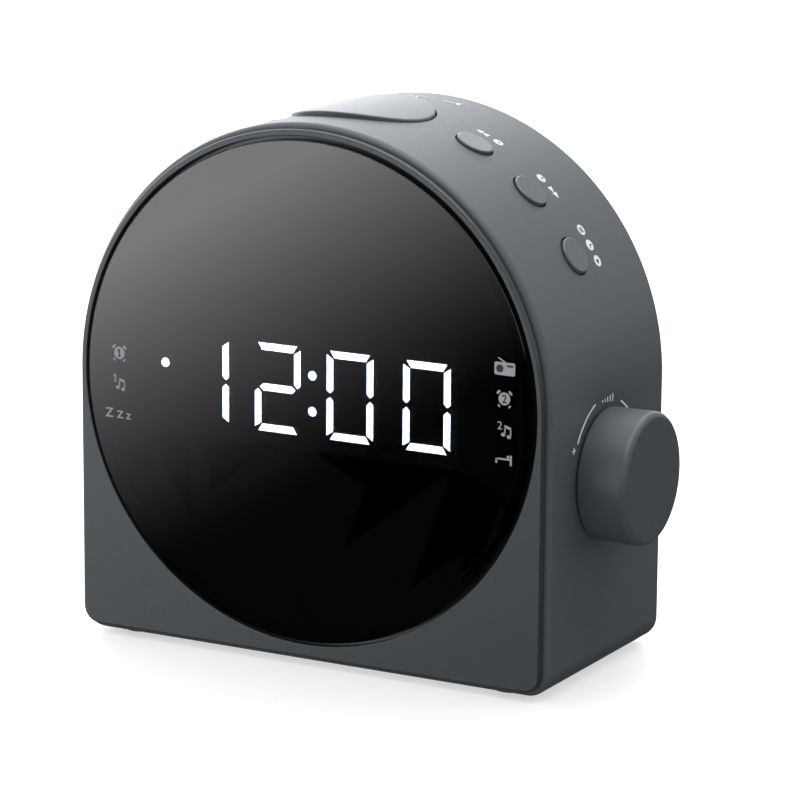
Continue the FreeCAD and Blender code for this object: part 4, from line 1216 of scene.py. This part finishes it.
class ClockRadioMarks(bpy.types.Operator):
    """Print the plain symbols on the window, the arch and the side"""

    bl_idname = "clock_radio.marks"
    bl_label = "Printed markings"

    def execute(self, context):
        shell = bpy.data.objects["arched_shell"]
        pale = screen_ink("Screen-printed ink, pale grey", colour("ink"))
        black = black_ink()
        thick = sizes().print_thick
        ahead = Vector((MIDDLE, GLASS_FACE, 0))
        marks = alarm_clock(-52.2, 72.0) + notes(-52.1, 64.4)
        marks += figure_one(-53.4, 65.6, 2.1)
        marks += sleep(-52.1, 56.8, 2.4)
        marks += alarm_clock(53.7, 72.5) + notes(54.1, 65.0)
        marks += [figure("2", 52.6, 66.1, 2.0, weight=0.02)]
        marks += pocket_radio(53.7, 80.0) + bed(53.7, 58.0)
        film = laid(marks, ahead, RIGHT, UP, None, 0.0)
        grey = screen_ink("Screen-printed ink, grey", colour("window_ink"))
        finished(film, "window_marks", "housing", "smoked_lens", grey)
        figures = figure_one(-52.2, 72.0, 1.9) + [
            figure("2", 53.7, 72.5, 2.0, weight=0.05),
            oval(52.4, 79.6, 1.9, 1.9),
            stroke(55.1, 80.3, 1.7, 0.45),
        ]
        film = laid(figures, ahead, RIGHT, UP, None, thick * 0.4)
        finished(film, "window_figures", "housing", "smoked_lens", black)
        marks = []
        cut_outs = []
        for hand, degrees, facing in ((0.7, 64.4, -1), (1.15, 48.5, 1)):
            drawn = [oval(-facing * 2.0, 0, 2.7, 2.7)]
            drawn += [arrow(facing * x, 0, 1.9, 2.1, facing) for x in (1.6, 3.4)]
            marks.append(self.on_shell(drawn, degrees, KEY_MARKS_Y, shell, 0.01 * MM))
            hands = [
                stroke(-facing * 2.0, hand / 2, 0.3, hand),
                stroke(-facing * 2.0 + 0.35, 0, 0.8, 0.28),
            ]
            cut_outs.append(self.on_shell(hands, degrees, KEY_MARKS_Y, shell, 0.02 * MM))
        badges = (
            (36.2, lambda: [stroke(0, z, 1.5, 0.3) for z in (-0.5, 0, 0.5)]),
            (32.5, lambda: [stroke(0, 0.35, 0.3, 1.2), stroke(0.4, -0.1, 1.0, 0.3)]),
            (28.8, lambda: [arrow(0.1, 0, 1.3, 1.5, 1)]),
        )
        for degrees, symbol in badges:
            marks.append(self.on_shell([oval(0, 0, 2.9, 2.9)], degrees, KEY_MARKS_Y, shell, 0.01 * MM))
            cut_outs.append(self.on_shell(symbol(), degrees, KEY_MARKS_Y, shell, 0.02 * MM))
        marks.append(self.on_shell(sleep(0, 0, 2.4), 89.5, 23.4, shell, 0.05 * MM))
        marks.append(self.on_shell(bed(0, 0), 81, 23, shell, 0.06 * MM))
        film = joined(marks)
        finished(film, "arch_marks", "housing", "graphite_plastic", pale)
        film = joined(cut_outs)
        finished(film, "arch_figures", "housing", "graphite_plastic", black)
        beside = Vector((MIDDLE + HALF, 0, SCALE_Z))
        drawn = [stroke(1.4 * k - 2.8, 17.3, 0.45, 0.5 + 0.35 * k) for k in range(5)]
        drawn += [stroke(-17.8, 8.2, 1.7, 0.35), stroke(-17.8, 8.2, 0.35, 1.7)]
        drawn += [stroke(17.8, 8.2, 1.7, 0.35)]
        drawn += self.arc(18.5, 111, 149, 0.42) + self.arc(17.2, 65, 36, 0.42)
        film = laid(drawn, beside, DEEP, UP, shell, 0.01 * MM)
        finished(film, "side_marks", "housing", "graphite_plastic", pale)
        return {"FINISHED"}

    def on_shell(self, drawn, degrees, y, shell, lift):
        """Marks laid on the arch, read from the front."""
        turn = math.radians(degrees)
        across = Vector((math.sin(turn), 0, -math.cos(turn)))
        origin = on_arch(HALF + 0.3 * MM, degrees, y * MM)
        return laid(drawn, origin, across, DEEP, shell, lift)

    def arc(self, radius, start, end, wide):
        """A flat line bent about the drawing's origin, from one angle to another."""
        bpy.ops.mesh.primitive_plane_add(size=1)
        band = settle("band")
        steps = 24
        pick(band, "EDGE", lambda p: abs(p[0].y - p[1].y) < TINY)
        bpy.ops.mesh.subdivide(number_cuts=steps)
        only(band)
        for vertex in band.data.vertices:
            share = vertex.co.x + 0.5
            turn = math.radians(start + (end - start) * share)
            grown = wide * (1.0 + 0.5 * share if start > 90 else 1.0)
            reach = (radius + vertex.co.y * grown) * MM
            vertex.co = (reach * math.cos(turn), reach * math.sin(turn), 0)
        pick(band, "FACE", lambda p: True)
        bpy.ops.mesh.normals_make_consistent(inside=False)
        only(band)
        if band.data.polygons[0].normal.z < 0:
            pick(band, "FACE", lambda p: True)
            bpy.ops.mesh.flip_normals()
            only(band)
        return [band]


# ---- kept pieces and the stage --------------------------------------------------------
class ClockRadioKept(bpy.types.Operator):
    """Give each piece that the frame already shapes its own finish"""

    bl_idname = "clock_radio.kept"
    bl_label = "Kept pieces"

    def execute(self, context):
        shown = hidden_finishes()
        shell = spark_textured_abs("ABS, spark-textured, battery door", colour("shell"), 0.55)
        shown["battery_door"] = shell
        for name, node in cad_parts.items():
            if node.hide_render:
                continue
            if name not in shown:
                raise RuntimeError("no finish is set for " + name)
            for slot in node.material_slots:
                slot.material = shown[name]
        return {"FINISHED"}


class ClockRadioStage(bpy.types.Operator):
    """Set the pale floor, the soft studio light and the camera"""

    bl_idname = "clock_radio.stage"
    bl_label = "Studio"

    def execute(self, context):
        only(None)
        bpy.ops.mesh.primitive_circle_add(vertices=96, radius=20, fill_type="NGON")
        floor = settle("studio_floor")
        acrylic = mottled(
            "Back-lit white acrylic table", colour("floor"), linear("#aeaeae"), 0.5, 0.4, 0.03,
            2 * MM, 0.0,
            Emission_Color=linear("#ffffff"), Emission_Strength=0.55,
        )  # fmt: skip
        floor.data.materials.append(acrylic)
        floor.visible_glossy = False
        self.sky()
        self.lamp("overhead_softbox", (0.1, 0.35, 1.2), (0, 0.1, 0.08), 1.3, 14.0)
        self.lamp("front_softbox", (-0.9, -1.3, 0.7), (0, 0, 0.06), 0.9, 1.6)
        strip = self.lamp("edge_strip", (0, -0.45, 1.05), (0, 0, 0.08), 1.3, 6.0)
        strip.visible_diffuse = False
        strip.data.shape = "RECTANGLE"
        strip.data.size_y = 0.16
        self.camera()
        context.scene.view_settings.view_transform = "Standard"
        return {"FINISHED"}

    def lamp(self, name, place, aim, size, power):
        place = Vector(place)
        turn = (Vector(aim) - place).to_track_quat("-Z", "Y").to_euler()
        bpy.ops.object.light_add(type="AREA", location=place, rotation=turn)
        lamp = bpy.context.object
        lamp.name = name
        lamp.data.shape = "SQUARE"
        lamp.data.size = size
        lamp.data.energy = power
        return lamp

    def sky(self):
        """Soft white all round above the table, brighter on a panel low behind the object,
        and a gradient card below the table's edge that only reflections see."""
        world = bpy.data.worlds.new("Studio")
        world.use_nodes = True
        bpy.context.scene.world = world
        tree = world.node_tree
        tree.nodes.clear()
        aim = add(tree, "ShaderNodeTexCoord").outputs["Generated"]
        slope = facing(tree, aim, (-0.515, 0.071, 0.854))
        ramp = mapped(tree, slope, {"From Min": -0.0165, "From Max": 0.062})
        fall = add(tree, "ShaderNodeMath", {"operation": "POWER", 1: 2.0}, {0: ramp})
        front = facing(tree, aim, (-0.468, -0.857, -0.218))
        soft = {"interpolation_type": "SMOOTHSTEP"}
        card = mapped(tree, front, {**soft, "From Min": 0.8, "From Max": 0.95, "To Max": 4.7})
        both = {0: fall.outputs[0], 1: card}
        glow = add(tree, "ShaderNodeMath", {"operation": "MULTIPLY"}, both)
        behind = facing(tree, aim, (-0.8, 0.575, 0.17))
        panel = mapped(tree, behind, {**soft, "From Min": 0.5, "From Max": 0.98, "To Max": 3.0})
        height = add(tree, "ShaderNodeSeparateXYZ", links={0: aim}).outputs["Z"]
        above = mapped(tree, height, {"From Min": -0.02, "From Max": 0.02})
        open_sky = {"data_type": "FLOAT", 3: 0.95}
        light = add(tree, "ShaderNodeMix", open_sky, {0: above, 2: glow.outputs[0]})
        both = {0: light.outputs[0], 1: panel}
        light = add(tree, "ShaderNodeMath", {"operation": "ADD"}, both)
        white = {"Color": linear("#fafcff")}
        shade = add(tree, "ShaderNodeBackground", white, {"Strength": light.outputs[0]})
        add(tree, "ShaderNodeOutputWorld", links={"Surface": shade.outputs[0]})

    def camera(self):
        target = Vector((MIDDLE + 8.23 * MM, 0.98 * MM, 60.76 * MM))
        azimuth, elevation, roll = (math.radians(v) for v in (28.637, 12.583, 0.452))
        back = Vector(
            (
                math.sin(azimuth) * math.cos(elevation),
                -math.cos(azimuth) * math.cos(elevation),
                math.sin(elevation),
            )
        )
        right = (-back).cross(UP).normalized()
        upward = back.cross(right)
        turned_right = math.cos(roll) * right + math.sin(roll) * upward
        turned_up = math.cos(roll) * upward - math.sin(roll) * right
        turn = Matrix((turned_right, turned_up, back)).transposed()
        bpy.ops.object.camera_add(
            location=target + back * 934.8 * MM, rotation=turn.to_euler()
        )
        eye = bpy.context.object
        eye.name = "studio_camera"
        eye.data.sensor_width = 36.0
        eye.data.lens = 171.5
        eye.data.clip_start = 0.01
        bpy.context.scene.camera = eye


class ClockRadioPanel(bpy.types.Panel):
    """Sizes, colours and the steps that build the clock radio"""

    bl_idname = "VIEW3D_PT_clock_radio"
    bl_label = "Clock radio"
    bl_space_type = "VIEW_3D"
    bl_region_type = "UI"
    bl_category = "Clock radio"

    def draw(self, context):
        column = self.layout.column()
        for group in (context.scene.clock_radio_sizes, context.scene.clock_radio_colours):
            for name in group.bl_rna.properties.keys():
                if name not in ("name", "rna_type"):
                    column.prop(group, name)
        for step in STEPS:
            column.operator(step.bl_idname)


STEPS = (
    ClockRadioStage,
    ClockRadioShell,
    ClockRadioRing,
    ClockRadioWindow,
    ClockRadioCover,
    ClockRadioKnob,
    ClockRadioSnooze,
    ClockRadioKeys,
    ClockRadioFeet,
    ClockRadioMarks,
    ClockRadioKept,
)
CLASSES = (ClockRadioSizes, ClockRadioColours, ClockRadioPanel, *STEPS)


def register():
    for item in CLASSES:
        bpy.utils.register_class(item)
    bpy.types.Scene.clock_radio_sizes = bpy.props.PointerProperty(type=ClockRadioSizes)
    bpy.types.Scene.clock_radio_colours = bpy.props.PointerProperty(type=ClockRadioColours)


def unregister():
    del bpy.types.Scene.clock_radio_colours
    del bpy.types.Scene.clock_radio_sizes
    for item in reversed(CLASSES):
        bpy.utils.unregister_class(item)


def main():
    register()
    for step in STEPS:
        group, name = step.bl_idname.split(".")
        getattr(getattr(bpy.ops, group), name)()


if __name__ == "__main__":
    main()
